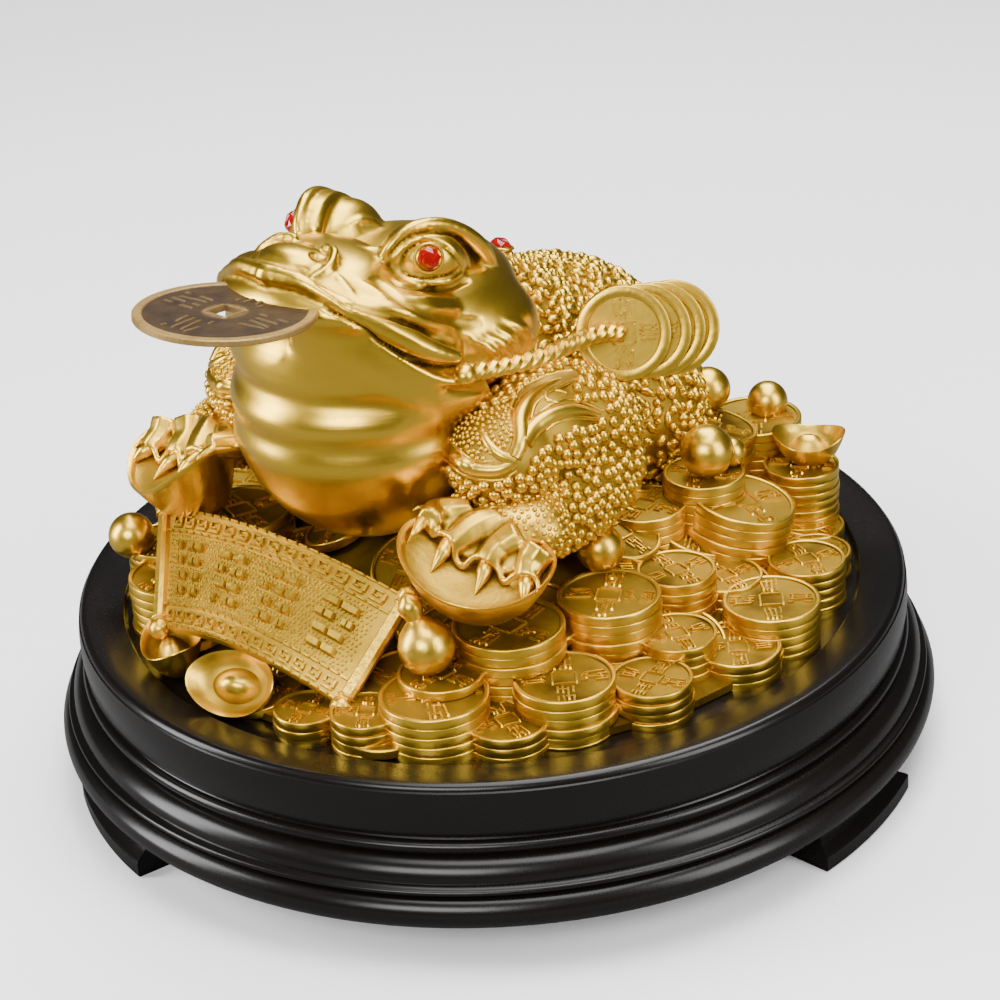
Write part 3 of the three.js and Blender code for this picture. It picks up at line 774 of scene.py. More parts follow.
# %% Eyes: ball, brow and lids, each point as pixel x, pixel y, and depth towards the camera
EYE_SEAT = on_toad(23.3, -31, 106.5)
EYE_TURN = turned(70, 0, 48)
EYEBALL = (8.8, 7.3, 7.2)
EYEBALL_DEPTH = 6.5
BROW = [
    (379, 270, 4.6), (388, 250, 7.4), (404.7, 232, 7.4), (424.8, 224.5, 5.6), (444.9, 224.5, 2.2),
    (465, 232.5, -2.6), (480.6, 246, -8.0), (489, 261, -12.5), (492, 275, -16.0),
]
BROW_RADII = [1.3, 1.6, 1.7, 1.8, 1.9, 2.1, 2.3, 2.2, 1.6]
UPPER_LID = [
    (391.5, 270.5, 5.2), (398.5, 254, 6.6), (411.4, 241.5, 6.8), (425.9, 236.5, 6.0), (440.4, 237.4, 4.4),
    (455, 245.2, 1.8), (465, 257, -1.6), (470, 268.5, -4.0),
]
UPPER_LID_RADII = [0.7, 1.0, 1.15, 1.2, 1.2, 1.1, 1.0, 0.7]
LOWER_LID = [
    (395, 271, 5.4), (409.2, 279.2, 6.6), (427, 282.2, 6.2), (447.1, 280.2, 3.8), (464, 272.5, -1.0),
]
LOWER_LID_RADII = [0.7, 1.2, 1.3, 1.2, 0.7]
print("eyeball", EYEBALL, "sunk", EYEBALL_DEPTH)

# %% Lips: pixel x, pixel y, depth towards the camera
UPPER_LIP = [
    (262.7, 273, 15.5), (298.5, 281.5, 20.6), (320, 293, 21.6), (345, 307, 21.6), (370, 319.5, 20.0),
    (400, 335.6, 17.4), (427, 348.8, 14.8), (447, 355, 12.0), (459, 357, 10.0),
]
UPPER_LIP_RADII = [2.9, 2.5, 2.2, 1.9, 2.4, 3.2, 3.2, 2.7, 1.8]
LOWER_LIP = [
    (300, 305, 19.0), (319.9, 309.6, 19.4), (340, 323, 18.6), (366.8, 339.8, 17.2), (393.6, 356.4, 15.4),
    (415.9, 370.5, 13.2), (438.2, 380, 10.8), (456.1, 382, 8.8), (470, 378.5, 7.4),
]
LOWER_LIP_RADII = [1.2, 1.3, 1.4, 1.5, 1.6, 1.7, 1.7, 1.5, 1.0]
JAW = [
    (300, 326, 12.0), (340, 345, 11.6), (366.8, 361, 10.0), (393.6, 377, 7.8), (415.9, 390, 5.4),
    (438.2, 398, 1.8), (458, 398, -2.4), (478, 388, -7.4),
]
JAW_RADII = [6.0, 7.0, 7.4, 7.4, 7.2, 6.8, 6.2, 4.6]
EYE_BED = [(399, 265, 2.6), (413, 262, 1.6), (431, 260, 0.3), (449, 260, -1.0), (465, 264, -3.8)]
EYE_BED_RADII = [2.0, 4.6, 5.5, 4.7, 2.2]
HEAD_LINES = (
    (BROW, BROW_RADII), (UPPER_LID, UPPER_LID_RADII), (LOWER_LID, LOWER_LID_RADII),
    (UPPER_LIP, UPPER_LIP_RADII), (LOWER_LIP, LOWER_LIP_RADII), (JAW, JAW_RADII), (EYE_BED, EYE_BED_RADII),
)
print("lines over the head", len(HEAD_LINES))

# %% Folds that stand out on the head: radius at the middle, depth of the centre, pixels
RAISED_FOLDS = [
    (2.6, -1.1, [(362, 296), (393.6, 308), (422.6, 320.5), (451.6, 331), (476, 337)]),
    (4.2, -2.9, [(388, 287), (405, 296), (430, 303), (456, 306), (482, 306)]),
    (1.1, -0.4, [(331, 270), (338, 277), (348, 289), (358, 299)]),
    (1.6, -0.7, [(352, 277), (366.8, 286), (384, 298), (404, 311)]),
    (1.2, -0.2, [(346.7, 226.3), (357.9, 220.5), (372, 221.5), (378, 227), (366.8, 231)]),
    (1.0, -0.2, [(304.3, 206), (311, 226.3), (317.7, 247)]),
    (1.5, -0.1, [(470, 340), (486, 346.5), (496, 357), (498, 369)]),
    (1.5, -0.1, [(484, 335), (500.9, 343.6), (508.8, 355), (510.4, 368)]),
    (1.5, -0.1, [(496, 328.5), (511, 338.8), (520, 352.6), (522.5, 367)]),
    (1.6, -0.4, [(504, 319), (523, 330), (532.5, 345), (535, 361)]),
]
NOSTRIL = [(4.5, -48, 112), (9, -49, 111.6), (11.3, -53.5, 109.6), (9.5, -58.5, 107.8), (5, -60.5, 108)]
NOSTRIL_RADII = [0.8, 1.3, 1.3, 1.1, 0.6]
NOSTRIL_PIT = (7.6, -53.6, 111.2)
print("raised folds", len(RAISED_FOLDS))

# %% Base of the head: a wedge, cheeks, snout and two domes
def head_base():
    lumps = [
        (on_toad(0, -20, 88.5), (31, 32, 15), None),
        (on_toad(0, -47, 103), (19, 17, 8), None),
        (on_toad(0, -42, 96), (30, 27, 10), turned(-12, 0, 0)),
    ]
    for side in (-1, 1):
        lumps.append((on_toad(side * 20, -14, 79.5), (16, 20, 14), None))
        lumps.append((on_toad(side * 14, -21.5, 101), (8, 12, 10), turned(0, side * 24, 0)))
    lumps.append((on_toad(0, -54, 108.5), (9.5, 7.5, 4.5), turned(-14, 0, 0)))
    return modelled(on_toad(0, -26, 88), lumps, 128, 96)


# %% Forms of the head: base, throat, eyeballs and the bars of brows, lids, lips, nostrils and folds
THROAT_MIDDLE = on_toad(0, -34, 64)
THROAT_RADIUS = 33.8
BROW_BEHIND = Vector((-2.6, 2.4, -2.4))
BROW_ROOT_RADII = [1.6, 2.7, 2.8, 2.8, 2.7, 2.6, 2.6, 2.4, 1.6]


def head_forms():
    base = head_base()
    tree = tree_of(base)
    forms = [base]
    forms.append(modelled(on_toad(0, -35, 72), [
        (THROAT_MIDDLE, (THROAT_RADIUS, THROAT_RADIUS, 36), None),
        (on_toad(0, -38, 84), (32, 27, 20), None),
    ], 128, 96))
    ball = EYE_SEAT - EYE_TURN.to_matrix() @ Vector((0, 0, EYEBALL_DEPTH))
    forms.append(ellipsoid(ball, EYEBALL, EYE_TURN))
    forms.append(ellipsoid(mirrored(ball), EYEBALL, turned(70, 0, -48)))
    brow_root = [seen_at((x, y), toward) + BROW_BEHIND for x, y, toward in BROW]
    forms += twin_bars(brow_root, BROW_ROOT_RADII)
    for line, radii in HEAD_LINES:
        forms += twin_bars([seen_at((x, y), toward) for x, y, toward in line], radii)
    forms += twin_bars([on_toad(*point) for point in NOSTRIL], NOSTRIL_RADII)
    for radius, lift, pixels in RAISED_FOLDS:
        points = [seen_on(tree, pixel, lift) for pixel in pixels]
        points = [point for point in points if point is not None]
        forms += twin_bars(points, [radius * 0.5, radius, radius, radius * 0.5])
    return forms


# %% Melting a joint by smoothing only the corners near it
def melt(piece, pixels, width, rounds):
    line = laid_line(tree_of(piece), pixels)
    points = read_points(piece)
    group = piece.vertex_groups.new(name="melted")
    for way in (line, other_side(line)):
        near = KDTree(len(way))
        for index, place in enumerate(way):
            near.insert(place, index)
        near.balance()
        close = np.all((points > way.min(0) - width) & (points < way.max(0) + width), axis=1)
        for index in np.where(close)[0]:
            gap = near.find(points[index])[2]
            if gap < width:
                group.add([int(index)], 0.5 + 0.5 * math.cos(math.pi * gap / width), "REPLACE")
    modified(piece, "SMOOTH", factor=0.7, iterations=rounds, vertex_group="melted")
    piece.vertex_groups.remove(piece.vertex_groups["melted"])


HEAD_VOXEL = 0.62
JAW_JOINT = [(292, 340), (320, 352), (345, 366), (370, 382), (393, 396), (415, 408), (438, 416), (458, 416)]
JAW_JOINT_WIDTH = 10.0
JAW_JOINT_ROUNDS = 240
toad_head = skin("toad_head", head_forms(), HEAD_VOXEL, 4)
melt(toad_head, JAW_JOINT, JAW_JOINT_WIDTH, JAW_JOINT_ROUNDS)
print("jaw melted into the throat", len(toad_head.data.vertices))

# %% Creases pressed into the face: half width, height, sharp, pixels
CREASES = [
    (1.2, -0.8, False, [(386.9, 271), (393.6, 252), (407, 239.2), (424.8, 232), (442.7, 232.6),
                        (460.5, 240.6), (472.8, 253), (480, 266)]),
    (0.9, -0.9, True, [(399.5, 268.8), (404.7, 254.2), (414.8, 245), (427, 241.6), (440.4, 243),
                       (451.6, 250.4), (459.4, 261), (463, 268)]),
    (0.9, -0.9, True, [(400, 269), (411.4, 275), (429.3, 277), (449.4, 274.2), (461.5, 268.3)]),
    (1.4, -0.8, False, [(388, 277), (402.5, 286), (427, 289.2), (451.6, 286.5), (469.5, 278.7)]),
    (1.1, -1.4, True, [(322, 305.4), (340, 315), (357.9, 326.2), (380.2, 341.2), (404.7, 356),
                       (427, 364.7), (449.4, 367.5), (462, 365)]),
    (1.6, -0.9, False, [(299.8, 271), (317.7, 282.1), (340, 297), (353.4, 305.5), (400.3, 321),
                        (427, 334.5), (456.1, 345)]),
    (2.2, -0.7, False, [(371.3, 277), (384.6, 289), (404.7, 304), (429.3, 314), (456.1, 320.1),
                        (482.9, 323.4)]),
]
PIT_RADIUS = 2.4
PIT_DEPTH = 1.9
head_skin = Skin(toad_head)
head_skin.draw(CREASES)
for spot in (on_toad(*NOSTRIL_PIT), mirrored(on_toad(*NOSTRIL_PIT))):
    pit = head_skin.tree.find_nearest(spot)[0]
    head_skin.dab(pit, PIT_RADIUS, -PIT_DEPTH)
print("creases", len(CREASES))


# %% Soft rolls round the front of the throat: pixels and depth of the creases between them
THROAT_CREASES = ((330, 372, 0.5), (330, 407, 1.15), (330, 453, 1.05))


def roll_throat(skin_piece):
    points = skin_piece.points
    out = points - np.array(THROAT_MIDDLE)
    front = np.clip(0.55 - out[:, 1] / THROAT_RADIUS * 0.9, 0, 1) ** 0.8
    own = np.clip((36.5 - np.linalg.norm(out, axis=1)) / 2.0, 0, 1)
    rise = np.zeros(len(points))
    for x, y, depth in THROAT_CREASES:
        gap = points[:, 2] - seen_on(skin_piece.tree, (x, y))[2]
        rise -= depth * np.exp(-(gap / 3.2) ** 2)
        rise += 0.4 * depth * np.exp(-((gap + 6.5) / 4.5) ** 2)
    skin_piece.points = points + skin_piece.normals * (rise * front * own)[:, None]
    skin_piece.refresh()


roll_throat(head_skin)
# The creases and hollows of the head are painted darker as tarnish and painted shade.
paint(toad_head, hollows(toad_head, 14, 1.3))
wear(toad_head, brass_satin)
print("throat rolled")

# %% [markdown]
# ### Back, arms and shoulders
# The back is one broad hump with arms folded at its sides. Smooth leaves lie over the shoulders.
# The arms are covered in round warts and the back in crowded knobs. A displaced skin would need far
# more faces for them. Each wart is a small dome, modelled once and copied over the skin, so that it
# stays round and crisp beside its neighbours.

# %% Lumps of the body and arms
def body_forms():
    lumps = [
        (on_toad(0, 34, 42), (35, 42, 34), None),
        (on_toad(0, 6, 58), (34, 34, 30), None),
    ]
    for side in (-1, 1):
        lumps.append((on_toad(side * 25, 42, 34), (19, 26, 22), None))
    forms = [modelled(on_toad(0, 24, 46), lumps)]
    for side in (-1, 1):
        forms.append(ellipsoid(on_toad(side * 41, -6, 56), (14, 22, 16), turned(-14, 0, side * -28)))
        forms.append(ellipsoid(on_toad(side * 49, -14, 42), (12.5, 27, 12.5), turned(6, 0, 0)))
        forms.append(ellipsoid(on_toad(side * 42, -29, 57), (14, 14.5, 13)))
        forms.append(ellipsoid(on_toad(side * 43, -17, 57), (14.5, 16, 14.5)))
    return forms


BODY_VOXEL = 1.15
toad_body = skin("toad_body", body_forms(), BODY_VOXEL, 4)
body_tree = tree_of(toad_body)
print("body", tuple(toad_body.dimensions))

# %% Leaves on the shoulders: radii, share sunk in the skin, pixels
LEAVES = [
    ([0.4, 1.3, 1.8, 2.0, 1.9, 1.4], 0.25,
     [(437, 423), (445, 445), (457, 460), (474, 469), (498, 470), (516, 462)]),
    ([0.4, 1.1, 1.5, 1.6], 0.25, [(479, 421), (486, 440), (499, 454), (515, 461)]),
    ([0.4, 1.2, 1.9, 2.4, 2.5, 2.0], 0.25,
     [(573, 374), (549, 383), (530, 397), (521, 417), (521, 440), (514, 458)]),
    ([2.4, 2.5, 2.1, 1.5, 0.4], 0.25, [(524, 443), (535, 427), (552, 415), (577, 409), (604, 415)]),
    ([0.4, 0.5, 0.4], 0.1, [(433, 423), (439, 446), (451, 465), (471, 477.5), (500, 480), (517, 471)]),
    ([0.4, 0.5, 0.4], 0.1, [(441, 425), (455, 446), (473, 460), (494, 461)]),
    ([0.4, 0.5, 0.4], 0.1, [(572, 370), (544, 376), (520, 390), (509, 414), (509, 438)]),
    ([0.4, 0.5, 0.4], 0.1, [(576, 379), (552, 391), (536, 404), (531, 420)]),
    ([0.4, 0.5, 0.4], 0.1, [(540, 412), (553, 404), (578, 401), (604, 411)]),
    ([0.4, 0.5, 0.4], 0.1, [(546, 430), (558, 422), (581, 418), (603, 420)]),
    ([0.4, 0.7, 0.5], 0.1, [(566, 399), (556, 402), (546, 399), (547, 392), (556, 390), (566, 393)]),
]


def shoulder_leaves():
    bars = []
    for radii, sunk, pixels in LEAVES:
        points = [seen_on(body_tree, pixel, -sunk * max(radii)) for pixel in pixels]
        bars += twin_bars([point for point in points if point is not None], radii, 16, 0.7)
    return bars


leaves = joined("shoulder_leaves", shoulder_leaves())
paint(leaves, 0.0)
wear(leaves, brass_skin)
print("leaves", len(LEAVES) * 2)


# %% Warts: seeded places on the skin, a set distance apart
def scattered(piece, region, spacing, seed, tries=4):
    chance = np.random.default_rng(seed)
    corners = read_points(piece)[np.array([polygon.vertices[:] for polygon in piece.data.polygons])]
    corners = np.repeat(corners, tries, axis=0)
    a, b = chance.random((2, len(corners), 1))
    places = (corners[:, 0] * (1 - a) + corners[:, 1] * a) * (1 - b)
    places += (corners[:, 3] * (1 - a) + corners[:, 2] * a) * b
    normals = np.cross(corners[:, 2] - corners[:, 0], corners[:, 3] - corners[:, 1])
    taken = {}
    kept = []
    for row in chance.permutation(np.where(region(places))[0]):
        point = places[row]
        x, y, z = (int(value) for value in np.floor(point / spacing))
        near = [other for i in (-1, 0, 1) for j in (-1, 0, 1) for k in (-1, 0, 1)
                for other in taken.get((x + i, y + j, z + k), ())]
        if not near or np.min(np.sum((places[near] - point) ** 2, axis=1)) > spacing ** 2:
            taken.setdefault((x, y, z), []).append(row)
            kept.append(row)
    return places[kept], normals[kept]


# %% A dome cut from a ball, and many copies of a pattern as one mesh
def dome(name, segments, rings):
    clear_selection()
    bpy.ops.mesh.primitive_uv_sphere_add(segments=segments, ring_count=rings, radius=1.0)
    form = bpy.context.active_object
    form.name = name
    bpy.ops.object.mode_set(mode="EDIT")
    bpy.ops.mesh.select_all(action="SELECT")
    bpy.ops.mesh.bisect(plane_co=(0, 0, -0.35), plane_no=(0, 0, 1), use_fill=True, clear_inner=True)
    bpy.ops.object.mode_set(mode="OBJECT")
    return form


def strewn(name, pattern, places):
    shape = np.c_[read_points(pattern), np.ones(len(pattern.data.vertices))]
    faces = [list(polygon.vertices) for polygon in pattern.data.polygons]
    points = np.einsum("nij,vj->nvi", np.array([np.array(place) for place in places]), shape)
    rows = [[start + corner for corner in face]
            for start in range(0, len(places) * len(shape), len(shape)) for face in faces]
    data = bpy.data.meshes.new(name)
    data.from_pydata(points[:, :, :3].reshape(-1, 3), [], rows)
    form = bpy.data.objects.new(name, data)
    bpy.context.scene.collection.objects.link(form)
    return form


def placing(place, turn, size):
    return Matrix.Translation(place) @ turn.to_matrix().to_4x4() @ Matrix.Diagonal((*size, 1.0))


def on_skin(places, normals, sizes, seed):
    chance = random.Random(seed)
    rows = []
    for place, normal in zip(places, normals):
        turn = Vector(normal).to_track_quat("Z", "Y") @ Quaternion((0, 0, 1), chance.uniform(0, math.tau))
        rows.append(placing(place, turn, sizes(chance)))
    return rows


# %% Sizes of warts: half the length, width and height
def round_wart(chance):
    return (chance.uniform(1.45, 1.75),) * 2 + (chance.uniform(1.3, 1.8),)


def fine_wart(_):
    return (0.7, 0.7, 0.7)


def long_knob(chance):
    return (chance.uniform(2.1, 3.0), chance.uniform(1.2, 1.6), chance.uniform(1.3, 2.2))


def small_knob(chance):
    return (chance.uniform(1.1, 1.5),) * 2 + (1.8,)


print("a long knob", long_knob(random.Random(1)))


# %% Where a place is on the toad, and whether the photograph shows it within an outline
def toad_axes(points):
    return abs(points[:, 0] - MIDDLE), points[:, 1], points[:, 2] - CAST_LEVEL


def pixels_of(points):
    near = points.copy()
    near[:, 0] = MIDDLE + abs(points[:, 0] - MIDDLE)
    seen = (near - np.array(CAMERA_PLACE)) @ np.array(camera_turn.to_matrix())
    return PHOTO_SIDE / 2 + PHOTO_FOCUS * np.stack([seen[:, 0], -seen[:, 1]], 1) / -seen[:, 2:3]


def within(points, outline):
    pixels = pixels_of(points)
    inside = np.zeros(len(points), bool)
    for (x0, y0), (x1, y1) in zip(outline, outline[1:] + outline[:1]):
        crosses = (pixels[:, 1] < y0) != (pixels[:, 1] < y1)
        edge = x0 + (pixels[:, 1] - y0) * (x1 - x0) / (y1 - y0 if y1 != y0 else 1e-9)
        inside ^= crosses & (pixels[:, 0] < edge)
    return inside


print("pixels of the eye", pixels_of(np.array([EYE_SEAT]))[0])

# %% Which part of the skin is arm, back or the finer ground between the leaves
STONE_CLEAR = 6.5
LEAF_GROUND = [(431, 420), (440, 408), (478, 411), (510, 402), (528, 384), (574, 364), (580, 380),
               (570, 398), (606, 406), (610, 419), (562, 432), (546, 447), (522, 472), (500, 484),
               (468, 482), (444, 464)]
FINE_GROUND = [(444, 428), (470, 414), (512, 404), (512, 444), (499, 450), (480, 462), (458, 450)]


def on_arms(points):
    side, along, up = toad_axes(points)
    reach_out = (side > 31) & (along < 15) & (along > -44) & (up > 25)
    return reach_out & ~within(points, LEAF_GROUND)


def on_back(points):
    side, along, up = toad_axes(points)
    arms = (side > 34) & (along < 15)
    at_stone = np.hypot(side, along - 22) < STONE_CLEAR
    return (along > -9) & (up > 18) & ~arms & ~at_stone


def on_fine_ground(points):
    side, along = toad_axes(points)[:2]
    return within(points, FINE_GROUND) & (side > 26) & (along < 10)


# %% Warts and knobs in place: spacing and seed, size, seed of the turns
# Each copy is painted darker below a set height, at its foot where it meets the skin, as tarnish and
# painted shade.
def paint_copies(copies, pattern, dark_below, shade=1.0):
    depth = np.clip(dark_below - read_points(pattern)[:, 2], 0, 1) * shade
    paint(copies, np.tile(depth, len(copies.data.vertices) // len(pattern.data.vertices)))


wart = dome("wart", 7, 6)
warts = strewn("warts", wart, on_skin(*scattered(toad_body, on_arms, 2.3, 5), round_wart, 6))
fines = strewn("fines", wart, on_skin(*scattered(toad_body, on_fine_ground, 1.15, 9), fine_wart, 10))
knobs = strewn("knobs", wart, on_skin(*scattered(toad_body, on_back, 3.5, 3), long_knob, 4))
smalls = strewn("smalls", wart, on_skin(*scattered(toad_body, on_back, 3.3, 7), small_knob, 8))
for form, shade in ((warts, 0.6), (fines, 0.5), (knobs, 0.75), (smalls, 0.75)):
    paint_copies(form, wart, 0.5, shade)
    print(form.name, len(form.data.vertices) // len(wart.data.vertices))
arm_warts = joined("arm_warts", [warts, fines])
back_knobs = joined("back_knobs", [knobs, smalls])
paint(toad_body, 0.6)
for form in (toad_body, arm_warts, back_knobs):
    wear(form, brass_skin)

# %% [markdown]
# ### Front feet
# Each front foot lies on a boat ingot, whose top is a flat plate here. Four toes end in sheaths
# with a pointed claw in each. The ingot is spun as a round bowl and then drawn out long, which keeps
# its rim even. The toes' lines were drawn over the photograph, and are laid on the plate by looking
# from the camera through their points, so each toe ends where the photograph shows it.

# %% Boat ingot with raised ends: radius and height as shares of its length
PLATE_LEVEL = 0.346
FOOT_PLATE = [
    (0, 0), (0.17, 0), (0.215, 0.012), (0.30, 0.075), (0.385, 0.17), (0.45, 0.275), (0.492, 0.358),
    (0.50, 0.378), (0.495, 0.390), (0.480, 0.388), (0.462, 0.372), (0.450, 0.352),
] + [(out, PLATE_LEVEL) for out in (0.44, 0.36, 0.27, 0.18, 0.09, 0)]
OPEN_BOAT = [
    (0, 0), (0.17, 0), (0.215, 0.012), (0.30, 0.075), (0.385, 0.17), (0.45, 0.275), (0.492, 0.362),
    (0.50, 0.378), (0.492, 0.388), (0.47, 0.378), (0.41, 0.325), (0.33, 0.275), (0.27, 0.262),
    (0.235, 0.29), (0.20, 0.335), (0.14, 0.395), (0.07, 0.432), (0, 0.44),
]


INGOT_STEPS = 56
INGOT_WIDTH = 0.72
INGOT_RISE = 0.35


def ingot(name, place, length, turn, profile=None):
    form = spun(name, profile or OPEN_BOAT, INGOT_STEPS)
    points = read_points(form)
    radius = np.hypot(points[:, 0], points[:, 1])
    # The flat plate inside the rim, or the floor of the open bowl, is painted darker as tarnish and painted
    # shade.
    if profile:
        shade = np.where((points[:, 2] > 0.3) & (radius < 0.455), 0.42, 0.0)
    else:
        shade = np.where((points[:, 2] > 0.24) & (radius < 0.4), 0.5 - abs(radius - 0.28) * 2.5, 0.0)
    paint(form, shade.clip(0, 1))
    out = abs(points[:, 0]) / 0.5
    points[:, 1] *= INGOT_WIDTH
    points[:, 2] *= 1 + INGOT_RISE * out ** 2
    write_points(form, points)
    form.scale = (length, length, length)
    form.rotation_euler = turn
    form.location = place
    return settle(form)


# %% One ingot under each front foot
FOOT_INGOT = {"place": on_toad(47.5, -49.5, 25), "length": 40.0, "turn": turned(18, 10, 24)}
near_ingot = ingot("foot_ingot", **FOOT_INGOT, profile=FOOT_PLATE)
far_ingot = copy_of(near_ingot, "far_ingot")
far_ingot.data.transform(Matrix.Translation((2 * MIDDLE, 0, 0)) @ Matrix.Diagonal((-1, 1, 1, 1)))
far_ingot.data.flip_normals()
plate_tree = tree_of(near_ingot)
PLATE_UP = FOOT_INGOT["turn"].to_matrix() @ Vector((0, 0, 1))
PLATE_MIDDLE = FOOT_INGOT["place"] + PLATE_UP * PLATE_LEVEL * FOOT_INGOT["length"]
print("foot ingots", near_ingot.name, far_ingot.name)


# %% Toes, sheaths and claws: pixel x, pixel y, height over the plate towards the camera
def over_plate(x, y, lift):
    way = seen_way((x, y))
    flat = CAMERA_PLACE + way * ((PLATE_MIDDLE - CAMERA_PLACE).dot(PLATE_UP) / way.dot(PLATE_UP))
    hit = plate_tree.ray_cast(CAMERA_PLACE, way)[0]
    return (hit if hit is not None else flat) - way * lift


TOES = [
    ([4.4, 4.4, 4.0, 3.2], [(470, 511, 5.0), (452, 513, 5.0), (438, 514, 4.4), (429, 520, 3.4)]),
    ([4.8, 4.7, 4.1, 3.3], [(496, 521, 6.0), (476, 528, 5.6), (461, 538, 4.8), (450.5, 545, 3.6)]),
    ([4.6, 4.4, 3.9, 3.2], [(521, 535, 6.0), (503, 546, 5.6), (492, 556, 4.8), (486, 564, 3.6)]),
    ([4.4, 4.2, 3.7, 3.0], [(541, 548, 6.0), (532, 561, 5.4), (528, 571, 4.4), (526.5, 579, 3.2)]),
    ([3.4, 3.2, 2.2], [(474, 518, 2.6), (455, 523, 1.8), (437, 530, 0.8)]),
    ([3.6, 3.2, 2.2], [(500, 533, 2.6), (484, 546, 1.8), (465, 560, 0.8)]),
    ([3.4, 3.0, 2.2], [(525, 548, 2.6), (514, 562, 1.8), (506, 575, 0.8)]),
]
SHEATH_RIM = [
    (412.8, 511, 1.4), (421.4, 507, 4.6), (429, 512.6, 5.6), (431, 524, 3.6), (432.5, 535, 1.4),
    (440, 533, 4.0), (448, 535.4, 6.0), (454.6, 546, 5.4), (455.2, 558, 2.4), (463, 567, 1.2),
    (471, 559.5, 4.0), (480, 555, 6.0), (492.6, 558.7, 6.2), (498.7, 570.5, 3.6), (504.4, 582.3, 1.2),
    (513.5, 576, 4.0), (523, 570.5, 5.8), (533, 574, 5.8), (538.5, 585, 3.0), (536, 594, 1.0),
]
CLAWS = [
    [(430, 512, 3.4), (418, 528, 2.6), (407.5, 542.6, 0.5)],
    [(452, 537, 3.6), (441, 555, 2.6), (431, 571.5, 0.5)],
    [(489, 555, 3.6), (483, 575, 2.6), (475, 594, 0.5)],
    [(528.5, 570, 3.4), (525, 589, 2.4), (523, 604, 0.5)],
]
HAND_BACK = [(452, 497), (470, 501), (492, 508), (512, 520), (532, 535), (545, 545), (566, 560),
             (590, 520), (560, 480), (500, 470)]


def on_hand_back(points):
    along, up = toad_axes(points)[1:]
    return within(points, HAND_BACK) & (along < -18) & (up > 34)


# %% Hands in one skin, their grains, the claws and the two foot ingots
PALM = (12.5, 9.5, 6.0)
HAND_VOXEL = 0.5


def hand_forms():
    palm = over_plate(520, 519, 4.0)
    forms = [ellipsoid(palm, PALM, FOOT_INGOT["turn"])]
    forms.append(ellipsoid(mirrored(palm), PALM, turned(18, -10, -24)))
    for side in (-1, 1):
        forms.append(ellipsoid(on_toad(side * 49, -27, 43), (10.5, 11, 9.5), turned(6, 0, 0)))
    for radii, line in TOES:
        forms += twin_bars([over_plate(*point) for point in line], radii)
    forms += twin_bars([over_plate(*point) for point in SHEATH_RIM], [0.6] + [0.95] * 6 + [0.6])
    return forms


toad_hands = skin("toad_hands", hand_forms(), HAND_VOXEL, 5)
# The hollows of the hands are painted darker as tarnish and painted shade, and so are the feet of the
# grains.
paint(toad_hands, np.clip(hollows(toad_hands, 10, 2.2) + 0.05, 0, 1))
wear(toad_hands, brass_skin)
grains = strewn("grains", wart, on_skin(*scattered(toad_hands, on_hand_back, 1.5, 11, 2), fine_wart, 12))
paint_copies(grains, wart, 0.4)
bpy.data.objects.remove(wart)
wear(grains, brass_skin)
toad_hands = joined("toad_hands", [toad_hands, grains])
claw_bars = []
for line in CLAWS:
    claw_bars += twin_bars([over_plate(*point) for point in line], [2.0, 2.0, 0.12], 16, 0.6)
toad_claws = joined("toad_claws", claw_bars)
foot_ingots = joined("foot_ingots", [near_ingot, far_ingot])
wear(toad_claws, brass_coins)
wear(foot_ingots, brass_hand)
print("hands", len(toad_hands.data.vertices), "claws", len(CLAWS) * 2)

# %% [markdown]
# ## The heap of coins
# Each coin has a thin raised rim, a raised square frame in the middle, and marks in the four fields
# round it. The marks here are rows of plain dashes that aren't letters. A few coins are modelled
# with all that and copied to the top of every stack. The coins under them show only their edges, so
# they are plain discs with eased corners. The stacks stand where the solid's do.

# %% Blocks and dashes that coins are marked with
def block(size):
    clear_selection()
    bpy.ops.mesh.primitive_cube_add(size=1.0)
    form = bpy.context.active_object
    form.scale = size
    return settle(form)


def dashes(chance, width, height, rows):
    marks = []
    for row in range(rows):
        y = height * ((row + 0.5) / rows - 0.5)
        cut = chance.uniform(-0.2, 0.2) * width if chance.random() < 0.6 else None
        gap = 0.09 * width
        ends = [-width / 2, width / 2] if cut is None else [-width / 2, cut - gap, cut + gap, width / 2]
        for low, high in zip(ends[::2], ends[1::2]):
            shrink = chance.uniform(0, 0.22) * (high - low)
            marks.append(((low + high) / 2, y, high - low - shrink))
    return marks


STROKE_TOP = 0.72
stroke_block = block((1, 1, 1))
points = read_points(stroke_block)
points[points[:, 2] > 0, :2] *= STROKE_TOP
write_points(stroke_block, points)
print("dashes", dashes(random.Random(1), 8.0, 5.0, 2))

# %% A plain coin for the inside of a stack
COIN_FIELD = COIN_THICKNESS - 0.6
FRAME_HALF = 3.0
PLAIN_STEPS = 32


def plain_coin(name):
    r, t = COIN_RADIUS, COIN_THICKNESS
    coin = spun(name, [(0, 0), (r - 0.2, 0), (r, 0.24), (r, t - 0.26), (r - 0.08, t - 0.1),
                       (r - 0.22, t - 0.02), (0, t - 0.02)], PLAIN_STEPS)
    # The lower edge, where the coin sits on the one below, is painted darker as tarnish and painted shade.
    level = read_points(coin)[:, 2]
    paint(coin, np.where(level < 0.2, 0.7, 0.0))
    return coin


plain = plain_coin("plain_coin")
print("plain coin faces", len(plain.data.polygons))


